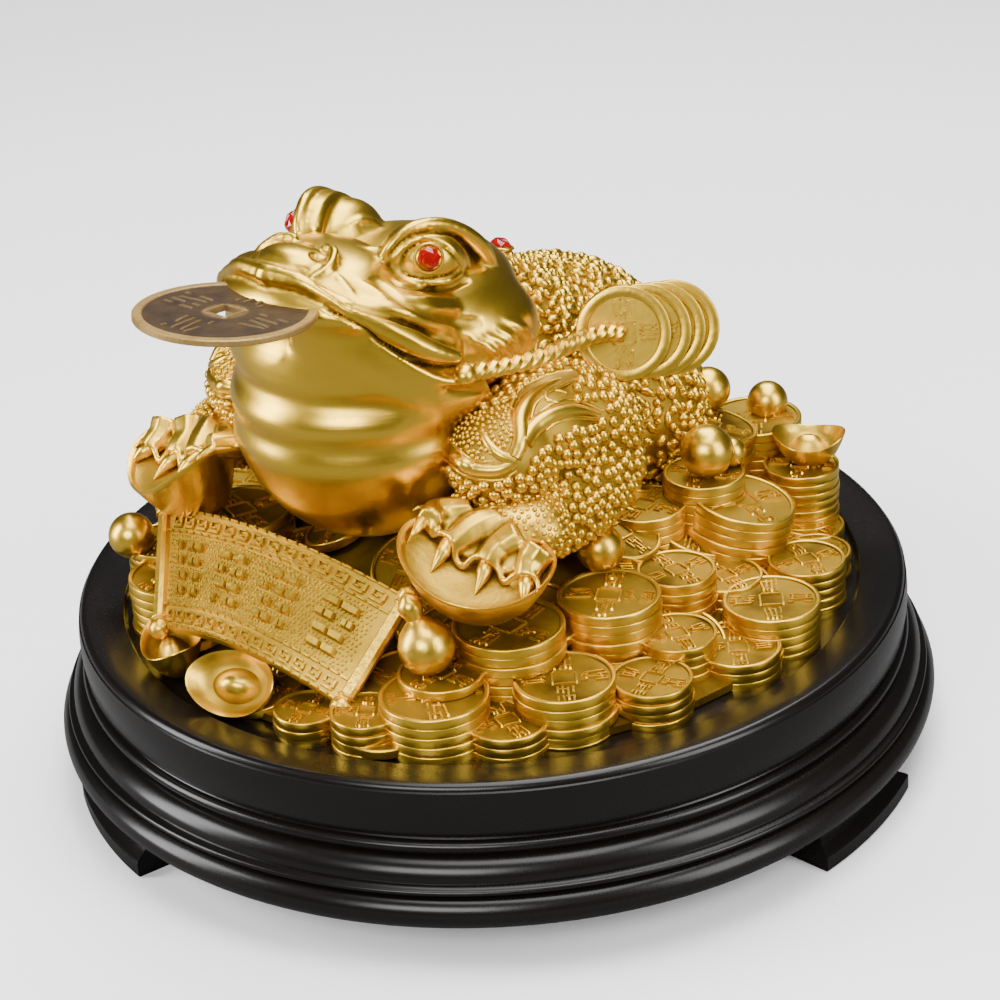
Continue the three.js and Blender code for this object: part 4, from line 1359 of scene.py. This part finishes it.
# %% A coin with its rim, its square frame and rows of dashes in four fields
def marked_coin(name, seed, rim=0.9, steps=44, dull=0.68):
    chance = random.Random(seed)
    r, t = COIN_RADIUS, COIN_THICKNESS
    body = spun(name, [(0, 0), (r - 0.2, 0), (r, 0.24), (r, t - 0.3), (r - 0.1, t - 0.1),
                       (r - 0.28, t), (r - rim, t), (r - rim - 0.3, t - 0.16),
                       (r - rim - 0.45, COIN_FIELD), (0, COIN_FIELD)], steps)
    points = read_points(body)
    # The sunk field and the underside are painted darker as tarnish and painted shade, and the rim and
    # marks stay bright.
    field = (points[:, 2] > 1) & (np.hypot(points[:, 0], points[:, 1]) < r - rim - 0.2)
    paint(body, np.where(field, dull, np.where(points[:, 2] < 0.1, 0.8, 0.0)))
    marks = []
    for side in range(4):
        angle = math.radians(90 * side)
        spoke = Euler((0, 0, angle))
        length = FRAME_HALF * 2 + chance.choice((0.6, 0.6, 2.6))
        place = spoke.to_matrix() @ Vector((FRAME_HALF, 0, COIN_FIELD + 0.1))
        marks.append(placing(place, spoke, (0.6, length, 0.9)))
        middle = (FRAME_HALF + r - rim) / 2 + 0.1
        wide = r - rim - FRAME_HALF - 1.5
        for x, y, long in dashes(chance, wide, 5.2, 4):
            place = spoke.to_matrix() @ Vector((middle + x, y, COIN_FIELD + 0.1))
            turn = Euler((0, 0, angle + chance.uniform(-0.16, 0.16)))
            marks.append(placing(place, turn, (long, 0.65, 0.85)))
        for x in (-0.26, 0.22):
            place = Vector((middle + wide * x, chance.uniform(-0.8, 0.8), COIN_FIELD + 0.1))
            turn = Euler((0, 0, angle + chance.uniform(-0.2, 0.2)))
            marks.append(placing(spoke.to_matrix() @ place, turn, (0.6, chance.uniform(2.0, 3.2), 0.8)))
    return joined(name, [body, strewn("marks", stroke_block, marks)])


marked = [marked_coin("marked_coin_%d" % seed, seed) for seed in (1, 2, 3)]
print("marked coins", len(marked), "faces", len(marked[0].data.polygons))

# %% Mound and stacks, as in the solid: angle, share of the radius, size, coins and lean
MOUND = [(0.93, 0), (0.78, 0.14), (0.66, 0.3), (0.5, 0.56), (0.34, 0.84), (0, 1)]
STACKS = [
    (-59, 0.855, 1.07, 4, 0), (-47, 0.885, 0.82, 2, 0), (-70, 0.9, 0.7, 3, 0), (-81, 0.9, 0.66, 2, 0),
    (-36.5, 0.83, 1, 4, 0), (-21.5, 0.87, 0.8, 3, 0), (-2, 0.87, 0.85, 2, 0), (9.5, 0.865, 0.98, 4, 0),
    (26, 0.885, 0.8, 4, 0), (36, 0.9, 0.74, 2, 0), (46, 0.9, 0.76, 2, 0), (50, 0.92, 0.8, 8, 0),
    (4, 0.62, 0.8, 3, 0), (15, 0.7, 0.77, 2, 0), (-19, 0.62, 1.03, 4, 0), (-10.5, 0.77, 0.79, 3, 0),
    (-45, 0.67, 1.1, 5, 0), (-58.5, 0.78, 0.85, 4, 0), (34, 0.68, 1.12, 6, 12), (27, 0.44, 0.88, 2, 0),
    (57, 0.62, 1.05, 9, 14), (63, 0.83, 1, 10, 0), (37, 0.6, 0.85, 7, 0), (-139, 0.9, 0.8, 6, 0),
    (-141, 0.68, 1.1, 6, 0), (-131, 0.54, 0.7, 1, 0), (-116, 0.6, 0.7, 2, 0), (-98, 0.6, 0.7, 2, 0),
]
for turn, angle in enumerate(range(78, 233, 22)):
    STACKS.append((angle, 0.88, 1, (3, 5, 4)[turn % 3], 0))
for turn, angle in enumerate(range(84, 213, 32)):
    STACKS.append((angle, 0.68, 1.05, (2, 3)[turn % 2], 0))


def mound_height(radius):
    shares, heights = zip(*reversed(MOUND))
    return HEAP_HEIGHT * float(np.interp(radius / HEAP_RADIUS, shares, heights))


print("stacks", len(STACKS), "mound in the middle", mound_height(0))

# %% Coins laid on stacks, each with its own turn, slip and size
SLIP = 0.3
heap_chance = random.Random(8)
heap_parts = []


def lay_coin(pattern, place, turn, size):
    spin = Euler((0, 0, heap_chance.uniform(0, math.tau))).to_matrix().to_4x4()
    scale = Matrix.Diagonal((size, size, 1.0, 1.0))
    coin = copy_of(pattern, "coin")
    coin.data.transform(Matrix.Translation(place) @ turn.to_matrix().to_4x4() @ spin @ scale)
    heap_parts.append(coin)


def coin_stack(angle, share, size, coins, lean):
    radius = COIN_RADIUS * size
    outward = min(share * HEAP_RADIUS, HEAP_RADIUS - radius)
    bottom = max(0, mound_height(outward + radius * 0.7) - COIN_THICKNESS)
    top = mound_height(outward) + coins * COIN_THICKNESS
    direction = math.radians(angle)
    centre = Vector((outward * math.cos(direction), outward * math.sin(direction),
                     CAST_LEVEL + (top + bottom) / 2))
    turn = turned(lean, 0, angle + 90)
    for step in range(math.ceil((top - bottom) / COIN_THICKNESS)):
        height = (top - bottom) / 2 - COIN_THICKNESS - step * COIN_THICKNESS
        slip = SLIP if step else 0.0
        offset = Vector((heap_chance.uniform(-slip, slip), heap_chance.uniform(-slip, slip), height))
        place = centre + turn.to_matrix() @ offset
        pattern = plain if step else heap_chance.choice(marked)
        lay_coin(pattern, place, turn, size * heap_chance.uniform(0.98, 1.0))


for stack in STACKS:
    coin_stack(*stack)
stack_parts = len(heap_parts)
print("coins in stacks", stack_parts)

# %% Coins that lie on the mound, in rings: share of the heap's radius, count, first angle
LYING_COINS = [(0.86, 15, 4), (0.72, 13, 16), (0.55, 11, 0), (0.4, 8, 10)]
TILT = 7
for share, count, start in LYING_COINS:
    for step in range(count):
        angle = math.radians(start + 360 / count * step + heap_chance.uniform(-5, 5))
        radius = share * HEAP_RADIUS + heap_chance.uniform(-2, 2)
        rise = mound_height(radius - 4) - mound_height(radius + 4)
        lean = math.degrees(math.atan2(rise, 8)) * 0.8
        level = CAST_LEVEL + mound_height(radius) + 0.3
        place = Vector((radius * math.cos(angle), radius * math.sin(angle), level))
        tilts = [heap_chance.uniform(-TILT, TILT) for _ in range(2)]
        turn = turned(lean + tilts[0], tilts[1], math.degrees(angle) + 90)
        lay_coin(heap_chance.choice(marked), place, turn, heap_chance.uniform(0.72, 0.95))
lying_coins = joined("lying_coins", heap_parts[stack_parts:])
wear(lying_coins, brass_coins)
print("lying coins", len(heap_parts) - stack_parts)

# %% The mound under the coins, joined with the stacks
MOUND_TOE = 2.0
MOUND_STEPS = 48
mound_profile = [(0, CAST_LEVEL), (MOUND[0][0] * HEAP_RADIUS, CAST_LEVEL)]
mound_profile += [(share * HEAP_RADIUS, CAST_LEVEL + (height * HEAP_HEIGHT or MOUND_TOE))
                  for share, height in MOUND]
mound = spun("mound", mound_profile, MOUND_STEPS)
# The mound, seen in the gaps between the coins, is painted dark as tarnish and painted shade.
paint(mound, 0.9)
coin_heap = joined("coin_heap", heap_parts[:stack_parts] + [mound])
wear(coin_heap, brass_coins)
bpy.data.objects.remove(plain)
print("coin heap corners", len(coin_heap.data.vertices))

# %% [markdown]
# ## The banner
# The banner is a cast sheet that bows out between two rods. Rows of square spirals run along its two
# long edges, and the field between them is stippled, with rows of plain strokes that aren't letters.
# Every raised form could be turned and placed on the bow by itself. It is easier to model all of
# them flat on a unit square, and to map that square to the bowed sheet in one step.

# %% Banner as one mapped sheet: every flat form is laid on its curve
BANNER_TOP = (on_toad(-54.4, -56, 25.0), on_toad(32.4, -58.5, 26.7))
BANNER_BOTTOM = (on_toad(-28.8, -85, 10.5), on_toad(29.7, -82, 6.5))
BANNER_BOW = 8.0
BANNER_THICKNESS = 2.4
BANNER_OUT = (BANNER_BOTTOM[0] - BANNER_TOP[0]).cross(BANNER_TOP[1] - BANNER_TOP[0]).normalized()


def on_banner(u, v, lift):
    lower = BANNER_BOTTOM[0].lerp(BANNER_BOTTOM[1], u)
    upper = BANNER_TOP[0].lerp(BANNER_TOP[1], u)
    return lower.lerp(upper, v) + BANNER_OUT * (BANNER_BOW * 4 * u * (1 - u) + lift)


def lay_on_banner(form):
    points = [on_banner(x, y, z) for x, y, z in read_points(form)]
    write_points(form, np.array(points))
    return form


print("banner's middle", tuple(on_banner(0.5, 0.5, 0)))

# %% Sizes of the square spirals, edge lines, strokes and dots, in shares of the sheet
HALF = BANNER_THICKNESS / 2
SPIRAL = [(0.06, 0.0, 0.94, 0.17), (0.78, 0.16, 0.94, 0.88), (0.20, 0.72, 0.80, 0.88),
          (0.20, 0.32, 0.36, 0.74), (0.34, 0.32, 0.62, 0.47)]
SQUARES = 14
EDGE_ROWS = ((0.04, 0.16), (0.84, 0.96))
EDGE_LINES = ((0.0, 0.022), (0.178, 0.200), (0.800, 0.822), (0.978, 1.0))
LINE_STEPS = 24
SIDE_MARGIN = 0.03
INNER_WIDTH = 1 - 2 * SIDE_MARGIN
SPIRAL_HEIGHT = 0.75
LINE_HEIGHT = 0.8
COLUMNS = 4
STROKE_HEIGHT = 1.5
STROKE_HALF = 0.036
DOT_ROWS = 15
DOTS = 60
DOT_SIZE = (0.0052, 0.0135, 0.42)


print("square spirals", SQUARES * len(EDGE_ROWS), "dots", DOT_ROWS * DOTS)


# %% Raised forms and dots on the flat unit square
def strip(u0, v0, u1, v1, height):
    middle = ((u0 + u1) / 2, (v0 + v1) / 2, HALF - 0.3 + height / 2)
    return placing(middle, Euler(), (u1 - u0, v1 - v0, height + 0.6))


def raised_forms():
    rows = []
    for low, high in EDGE_ROWS:
        for square in range(SQUARES):
            for a, b, c, d in SPIRAL:
                u0, u1 = (SIDE_MARGIN + (square + share) * INNER_WIDTH / SQUARES for share in (a, c))
                rows.append(strip(u0, low + (high - low) * b, u1, low + (high - low) * d, SPIRAL_HEIGHT))
    for low, high in EDGE_LINES:
        rows += [strip(step / LINE_STEPS, low, (step + 1.02) / LINE_STEPS, high, LINE_HEIGHT)
                 for step in range(LINE_STEPS)]
    chance = random.Random(21)
    for column in range(COLUMNS):
        centre = 0.15 + column * 0.7 / (COLUMNS - 1)
        for x, y, long in dashes(chance, 0.15, 0.5, 4):
            for start in (centre + x - long / 2, centre + x):
                rows.append(strip(start, 0.5 + y - STROKE_HALF, start + long * 0.51,
                                  0.5 + y + STROKE_HALF, STROKE_HEIGHT))
    return rows


def stipple():
    chance = random.Random(4)
    rows = []
    for row in range(DOT_ROWS):
        for dot in range(DOTS):
            u = SIDE_MARGIN + (dot + 0.5 * (row % 2) + chance.uniform(-0.2, 0.2)) * INNER_WIDTH / DOTS
            v = 0.225 + (row + chance.uniform(-0.2, 0.2)) * 0.55 / (DOT_ROWS - 1)
            rows.append(placing((u, v, HALF), Euler(), DOT_SIZE))
    return rows


# %% The bowed sheet
clear_selection()
bpy.ops.mesh.primitive_grid_add(x_subdivisions=48, y_subdivisions=16, size=1.0, location=(0.5, 0.5, 0))
sheet = settle(bpy.context.active_object)
modified(sheet, "SOLIDIFY", thickness=BANNER_THICKNESS, offset=0.0)
# The sheet, the dots and the low sides of the raised forms are painted darker as tarnish and painted shade
# in the recesses, and the tops of the raised forms stay bright.
paint(sheet, 0.3)
raised = strewn("raised", stroke_block, raised_forms())
dot = dome("dot", 6, 4)
dots = strewn("dots", dot, stipple())
bpy.data.objects.remove(dot)
paint(raised, np.where(read_points(raised)[:, 2] > HALF + 0.35, 0.0, 0.7))
paint(dots, 0.3)
banner_sheet = lay_on_banner(joined("banner", [sheet, raised, dots]))
print("banner sheet corners", len(banner_sheet.data.vertices))

# %% Rods with a round knob and a collar at each end
ROD_RADIUS = 2.0
ROD_BESIDE = 1.3
ROD_BEFORE = 0.9
KNOB = (2.9, 2.9, 2.9)
COLLAR = (2.6, 2.6, 0.8)
rods = []
for side, (top, bottom) in enumerate(zip(BANNER_TOP, BANNER_BOTTOM)):
    outward = (BANNER_TOP[side] - BANNER_TOP[1 - side]).normalized()
    beside = outward * ROD_BESIDE + BANNER_OUT * ROD_BEFORE
    top, bottom = top + beside, bottom + beside
    axis = (top - bottom).normalized()
    rods.append(bar("rod", [top + axis, bottom - axis], [ROD_RADIUS, ROD_RADIUS], 16))
    for end, way in ((top, axis), (bottom, -axis)):
        rods.append(ellipsoid(end + way * 0.6, KNOB, None, 24, 14))
        rods.append(ellipsoid(end - way * 2.2, COLLAR, way.to_track_quat("Z", "Y").to_euler(), 24, 8))
banner = joined("banner", [banner_sheet] + rods)
wear(banner, brass_hand)
print("banner corners", len(banner.data.vertices))

# %% [markdown]
# ## Ingots, balls and the gourd
# Three boat ingots, seven balls and a gourd lie on the coins. A boat ingot is a spun bowl with a dome
# in it, drawn out long and pulled up at its two ends. The balls need no more than a sphere. The gourd
# could be two spheres, but a spun profile gives its waist and its stalk in one smooth form.

# %% Ingots, balls and the gourd in their places
INGOTS = [
    (on_toad(66, 69, 21), 20, turned(6, 0, 30)),
    (on_toad(0, -85.3, 2), 24, turned(48, 0, 20)),
    (on_toad(-25, -85, 0), 22, turned(10, 0, -30)),
]
BALL_RADIUS = 6.2
BALLS = [
    ((55, -8.8, 25.6), 1.0), ((-52, -4, 21), 1.0), ((-61, -65, 20), 1.0), ((57, 35, 36), 1.15),
    ((59, 43, 33), 0.65), ((36.7, 63.1, 38), 1.0), ((46, 78, 31), 0.9),
]


def treasures():
    parts = [ingot("ingot", *where) for where in INGOTS]
    for place, size in BALLS:
        radius = BALL_RADIUS * size
        parts.append(ellipsoid(on_toad(*place), (radius, radius, radius), None, 40, 24))
    bulb = BALL_RADIUS * 1.15
    tip = bulb * 0.44
    gourd = spun("gourd", [
        (0, -bulb), (bulb * 0.4, -bulb * 0.93), (bulb * 0.74, -bulb * 0.7), (bulb * 0.95, -bulb * 0.34),
        (bulb, 0), (bulb * 0.95, bulb * 0.34), (bulb * 0.74, bulb * 0.7), (bulb * 0.5, bulb * 0.92),
        (tip * 0.72, bulb * 1.06), (tip * 0.8, bulb * 1.2), (tip, bulb * 1.4), (tip, bulb * 1.6),
        (tip * 0.8, bulb * 1.78), (tip * 0.5, bulb * 1.9), (tip * 0.3, bulb * 2.0), (0, bulb * 2.05),
    ], 40)
    gourd.rotation_euler = turned(0, -24, 0)
    gourd.location = on_toad(45.9, -66.5, 21)
    parts.append(settle(gourd))
    return joined("treasures", parts)


treasure = treasures()
wear(treasure, brass_coins)
print("treasures", len(treasure.data.vertices))

# %% [markdown]
# ## Rope and its string of coins
# Two strands twist round each other from the corner of the mouth over the shoulder, and four coins
# hang fanned at its end. The rope is cast brass and can't hang, so its route is a fixed line. Each
# strand is a round bar that winds about that line, half a turn from the other one. A twisted texture
# on one bar would leave the outline straight.

# %% Two strands wound about a line
STRING_FRONT = on_toad(48, 13, 76)
STRING_TURN = turned(72, 0, 42)
ROPE_LINE = [(38, -37, 81.5), (41, -27, 80), (44, -15, 79), (46, -5, 79.5), (47.5, 5, 79), (48, 12.5, 76.2)]
ROPE_RADIUS = 1.9
ROPE_PITCH = 7.0
STRAND_SIZE = 0.76
STRAND_OUT = 0.5


def rope_strands(points, radius, pitch):
    line = smooth_line([on_toad(*p) for p in points], 0.5)
    way = np.gradient(line, axis=0)
    way /= np.linalg.norm(way, axis=1)[:, None]
    side = np.cross(way, (0, 0, 1.0))
    side /= np.linalg.norm(side, axis=1)[:, None]
    up = np.cross(side, way)
    gone = np.concatenate([[0], np.cumsum(np.linalg.norm(np.diff(line, axis=0), axis=1))])
    strands = []
    for start in (0, math.pi):
        angle = gone / pitch * math.tau + start
        offset = side * np.cos(angle)[:, None] + up * np.sin(angle)[:, None]
        route = line + offset * radius * STRAND_OUT
        strands.append(bar("strand", route, [radius * STRAND_SIZE] * 2, 14, 0.45))
    print("rope length", gone[-1])
    return strands


# %% Four fanned coins, and the knot at the corner of the mouth
STRING_COINS = 4
STRING_COIN_RADIUS = 12.2
STRING_COIN_BEHIND = 2.04
STRING_COIN_RIM = 2.6
STRING_SLIDE = Vector((0.74, 0.67, 0))


def string_coins():
    behind = STRING_TURN.to_matrix() @ Vector((0, 0, -STRING_COIN_BEHIND))
    size = STRING_COIN_RADIUS / COIN_RADIUS
    centre = Matrix.Translation((0, 0, -COIN_THICKNESS / 2))
    parts = []
    for index in range(STRING_COINS):
        slide = STRING_COIN_RADIUS * (0.13 + 0.31 * index) if index else 0
        place = STRING_FRONT + behind * index + STRING_SLIDE * slide
        coin = marked_coin("string_coin", 11 + index, STRING_COIN_RIM, 56, 0.3)
        coin.data.transform(placing(place, STRING_TURN, (size, size, 0.92)) @ centre)
        parts.append(coin)
    return parts


string_parts = string_coins()
knot = ellipsoid(on_toad(38.2, -37, 81.2), (2.9, 3.4, 2.7), turned(0, 0, 20), 24, 14)
for pattern in marked:
    bpy.data.objects.remove(pattern)
strands = rope_strands(ROPE_LINE, ROPE_RADIUS, ROPE_PITCH)
rope_and_coins = joined("rope_and_coins", strands + string_parts + [knot])
wear(rope_and_coins, brass_coins)
print("rope", len(rope_and_coins.data.vertices))

# %% [markdown]
# ## The coin in the mouth
# This is an old bronze coin, dark all over but for its rim and the edge of its square hole. It is the
# one loose coin, so it is spun as a body of its own, with its hole cut by a boolean. Its tarnish is a
# value per corner, and a flat field between two far rings would blur it from rim to hole. An extra
# ring near the hole keeps the field dark all the way.

# %% Mouth coin with a square hole
MOUTH_COIN_RADIUS = 22.3
MOUTH_COIN_THICKNESS = 1.7
MOUTH_COIN_HOLE = 6.4
MOUTH_COIN_TURN = turned(-6, 0, 0)
MOUTH_COIN_RING = 6.0


def mouth_coin():
    r, t = MOUTH_COIN_RADIUS, MOUTH_COIN_THICKNESS
    half_profile = [(0, 0.3), (MOUTH_COIN_RING, 0.3), (r - 2.6, 0.3), (r - 2.2, 0), (r - 0.3, 0), (r, 0.3)]
    profile = [(out, depth - t) for out, depth in half_profile]
    profile += [(out, -depth) for out, depth in reversed(half_profile)]
    body = spun("mouth_coin_cast", profile, 96)
    cutter = block((MOUTH_COIN_HOLE, MOUTH_COIN_HOLE, 8))
    modified(body, "BOOLEAN", object=cutter)
    bpy.data.objects.remove(cutter)
    marks = []
    chance = random.Random(5)
    half = MOUTH_COIN_HOLE / 2 + 0.45
    for level in (-0.25, -t + 0.25):
        for side in range(4):
            spoke = Euler((0, 0, math.radians(90 * side)))
            marks.append(placing(spoke.to_matrix() @ Vector((half, 0, level)), spoke,
                                 (0.9, 2 * half + 0.9, 0.5)))
            for x, y, long in dashes(chance, 10.5, 10.0, 4):
                place = spoke.to_matrix() @ Vector((12.4 + x, y, level))
                turn = Euler((0, 0, spoke.z + chance.uniform(-0.2, 0.2)))
                marks.append(placing(place, turn, (long, 1.1, 0.42)))
    coin = joined("mouth_coin_cast", [body, strewn("marks", stroke_block, marks)])
    points = read_points(coin)
    radii = np.hypot(points[:, 0], points[:, 1])
    in_hole = np.maximum(abs(points[:, 0]), abs(points[:, 1])) < half + 0.5
    raised = abs(points[:, 2] + t / 2) > t / 2 - 0.14
    paint(coin, np.where(radii > r - 2.4, 0.1, np.where(in_hole, 0.55, np.where(raised, 0.82, 1.0))))
    coin.rotation_euler = MOUTH_COIN_TURN
    coin.location = on_toad(0, -78.6, 104.6)
    return settle(coin)


bronze_coin = mouth_coin()
bpy.data.objects.remove(stroke_block)
wear(bronze_coin, bronze)
print("mouth coin", len(bronze_coin.data.vertices))

# %% [markdown]
# ## Stones
# Red glass stones are set in both eyes and behind the head. Each one is cut with a flat top, a ring
# of kite-shaped facets and a narrow girdle. Eight spun steps give the facets, and a ring that is
# turned half a step makes kites of them. The shading stays flat, because a smooth one would hide the
# cut. A brass ring and a low mound under it hold each stone.

# %% Cut stones in their seats
STONE_RADIUS = 3.0
STONE_HEIGHT = 2.6
STONE_SIDES = 8
SEATS = {
    "eye_stone_left": (EYE_SEAT, EYE_TURN),
    "eye_stone_right": (on_toad(-22, -31, 106.5), turned(70, 0, -48)),
    "back_stone": (on_toad(0, 22, 86), turned(-14, 0, 0)),
}


def cut_stone(name, place, turn):
    r, h = STONE_RADIUS, STONE_HEIGHT
    crown = spun(name, [(0, 0), (r * 0.96, 0), (r, h * 0.15), (r, h * 0.36), (r * 0.80, h * 0.68),
                        (r * 0.52, h * 0.97), (0, h)], STONE_SIDES)
    points = read_points(crown)
    ring = abs(points[:, 2] - h * 0.68) < 0.01
    angle = math.pi / STONE_SIDES
    x, y = points[ring, 0].copy(), points[ring, 1].copy()
    points[ring, 0] = x * math.cos(angle) - y * math.sin(angle)
    points[ring, 1] = x * math.sin(angle) + y * math.cos(angle)
    write_points(crown, points)
    crown.rotation_euler = turn
    crown.location = place
    return settle(crown)


stones = {name: cut_stone(name + "_cut", *seat) for name, seat in SEATS.items()}
for stone in stones.values():
    wear(stone, red_glass)
print("stones", len(stones), "facets", len(stones["back_stone"].data.polygons))


# %% Brass settings: a ring round each stone and a low mound under it
def ring_round(place, turn, radius, thick):
    clear_selection()
    bpy.ops.mesh.primitive_torus_add(major_radius=radius, minor_radius=thick,
                                     major_segments=40, minor_segments=10)
    ring = bpy.context.active_object
    ring.rotation_euler = turn
    ring.location = place
    return settle(ring)


settings = []
for name, (place, turn) in SEATS.items():
    lift = turn.to_matrix() @ Vector((0, 0, 0.2))
    settings.append(ring_round(place + lift, turn, STONE_RADIUS + 0.5, 0.4))
    under = turn.to_matrix() @ Vector((0, 0, -1.8))
    settings.append(ellipsoid(place + under, (4.1, 4.1, 2.1), turn, 32, 16))
stone_settings = joined("stone_settings", settings)
paint(stone_settings, 0.0)
wear(stone_settings, brass_skin)
print("settings", len(settings))

# %% [markdown]
# ## Feet of the stand
# Three curved brackets carry the stand, a third of a turn apart. Each has a stepped outer edge, and
# ends that are hollowed a little, as sawn and filed brackets are. A box could be bent to the curve,
# but a section that is filled and spun through a short arc fits the stand's own circle at once.

# %% Stand feet: curved brackets with a stepped upper edge
FOOT_DEPTH = 15.0
FOOT_ARC = 22.0
FOOT_STEPS = 26
FOOT_COUNT = 3
FIRST_FOOT_ANGLE = 6.0
FOOT_LEDGE = 3.5
FOOT_FACE = 5.0
FOOT_INSET = 2.5
FOOT_HOLLOW = 4.4


def stand_foot(name, angle):
    outer = STAND_RADIUS - FOOT_INSET
    inner = outer - FOOT_DEPTH
    ledge = outer - FOOT_LEDGE
    top = FOOT_HEIGHT - GAP
    section = [(inner, 0), (outer - 0.5, 0), (outer, 0.5), (outer, FOOT_FACE - 0.6),
               (outer - 0.6, FOOT_FACE), (ledge + 0.5, FOOT_FACE + 0.9), (ledge, FOOT_FACE + 1.6),
               (ledge, top), (inner, top)]
    form = drawn(name, section + section[:1])
    bpy.ops.mesh.remove_doubles(threshold=DOUBLES)
    bpy.ops.mesh.edge_face_add()
    spin_round(FOOT_STEPS, FOOT_ARC)
    points = read_points(form)
    radius = np.hypot(points[:, 0], points[:, 1])
    turn = np.degrees(np.arctan2(points[:, 1], points[:, 0]))
    share = (radius - inner) / FOOT_DEPTH
    hollow = FOOT_HOLLOW * share * (1 - share)
    eased = (turn - (turn.min() + turn.max()) / 2) * (1 - hollow / (FOOT_ARC / 2))
    final = np.radians(eased + angle)
    points[:, 0] = radius * np.cos(final)
    points[:, 1] = radius * np.sin(final)
    write_points(form, points)
    return form


feet = [stand_foot("bracket_foot_%d" % (k + 1), FIRST_FOOT_ANGLE + 360 / FOOT_COUNT * k)
        for k in range(FOOT_COUNT)]
for foot in feet:
    wear(foot, lacquer)
print("feet", len(feet), "faces", [len(foot.data.polygons) for foot in feet])

# %% [markdown]
# ## Bodies
# Nothing on the figure moves, so every piece rides on its one body. All the brass pieces stand for
# the one cast solid. The angle with each piece is the sharpest edge that is still shaded smooth.

# %% Finish the pieces
wear(stand, lacquer)
finish_piece(stand, "black_lacquer", "stand")
for number, foot in enumerate(feet, 1):
    finish_piece(foot, "black_lacquer", "stand_foot_%d" % number)
CASTING = [
    (toad_head, SMOOTH_ANGLE), (toad_body, SMOOTH_ANGLE), (arm_warts, 60.0), (back_knobs, 60.0),
    (leaves, 60.0), (toad_hands, SMOOTH_ANGLE), (toad_claws, 40.0), (foot_ingots, 40.0),
    (coin_heap, SMOOTH_ANGLE), (lying_coins, SMOOTH_ANGLE), (banner, 30.0), (treasure, 50.0),
    (rope_and_coins, SMOOTH_ANGLE), (stone_settings, SMOOTH_ANGLE),
]
for piece, smooth in CASTING:
    finish_piece(piece, "cast_brass", "toad_casting", smooth=smooth)
finish_piece(bronze_coin, "dark_bronze", "mouth_coin")
for name, stone in stones.items():
    finish_piece(stone, "red_glass", name, smooth=0.0)
print("pieces", 1 + len(feet) + len(CASTING) + 1 + len(stones))
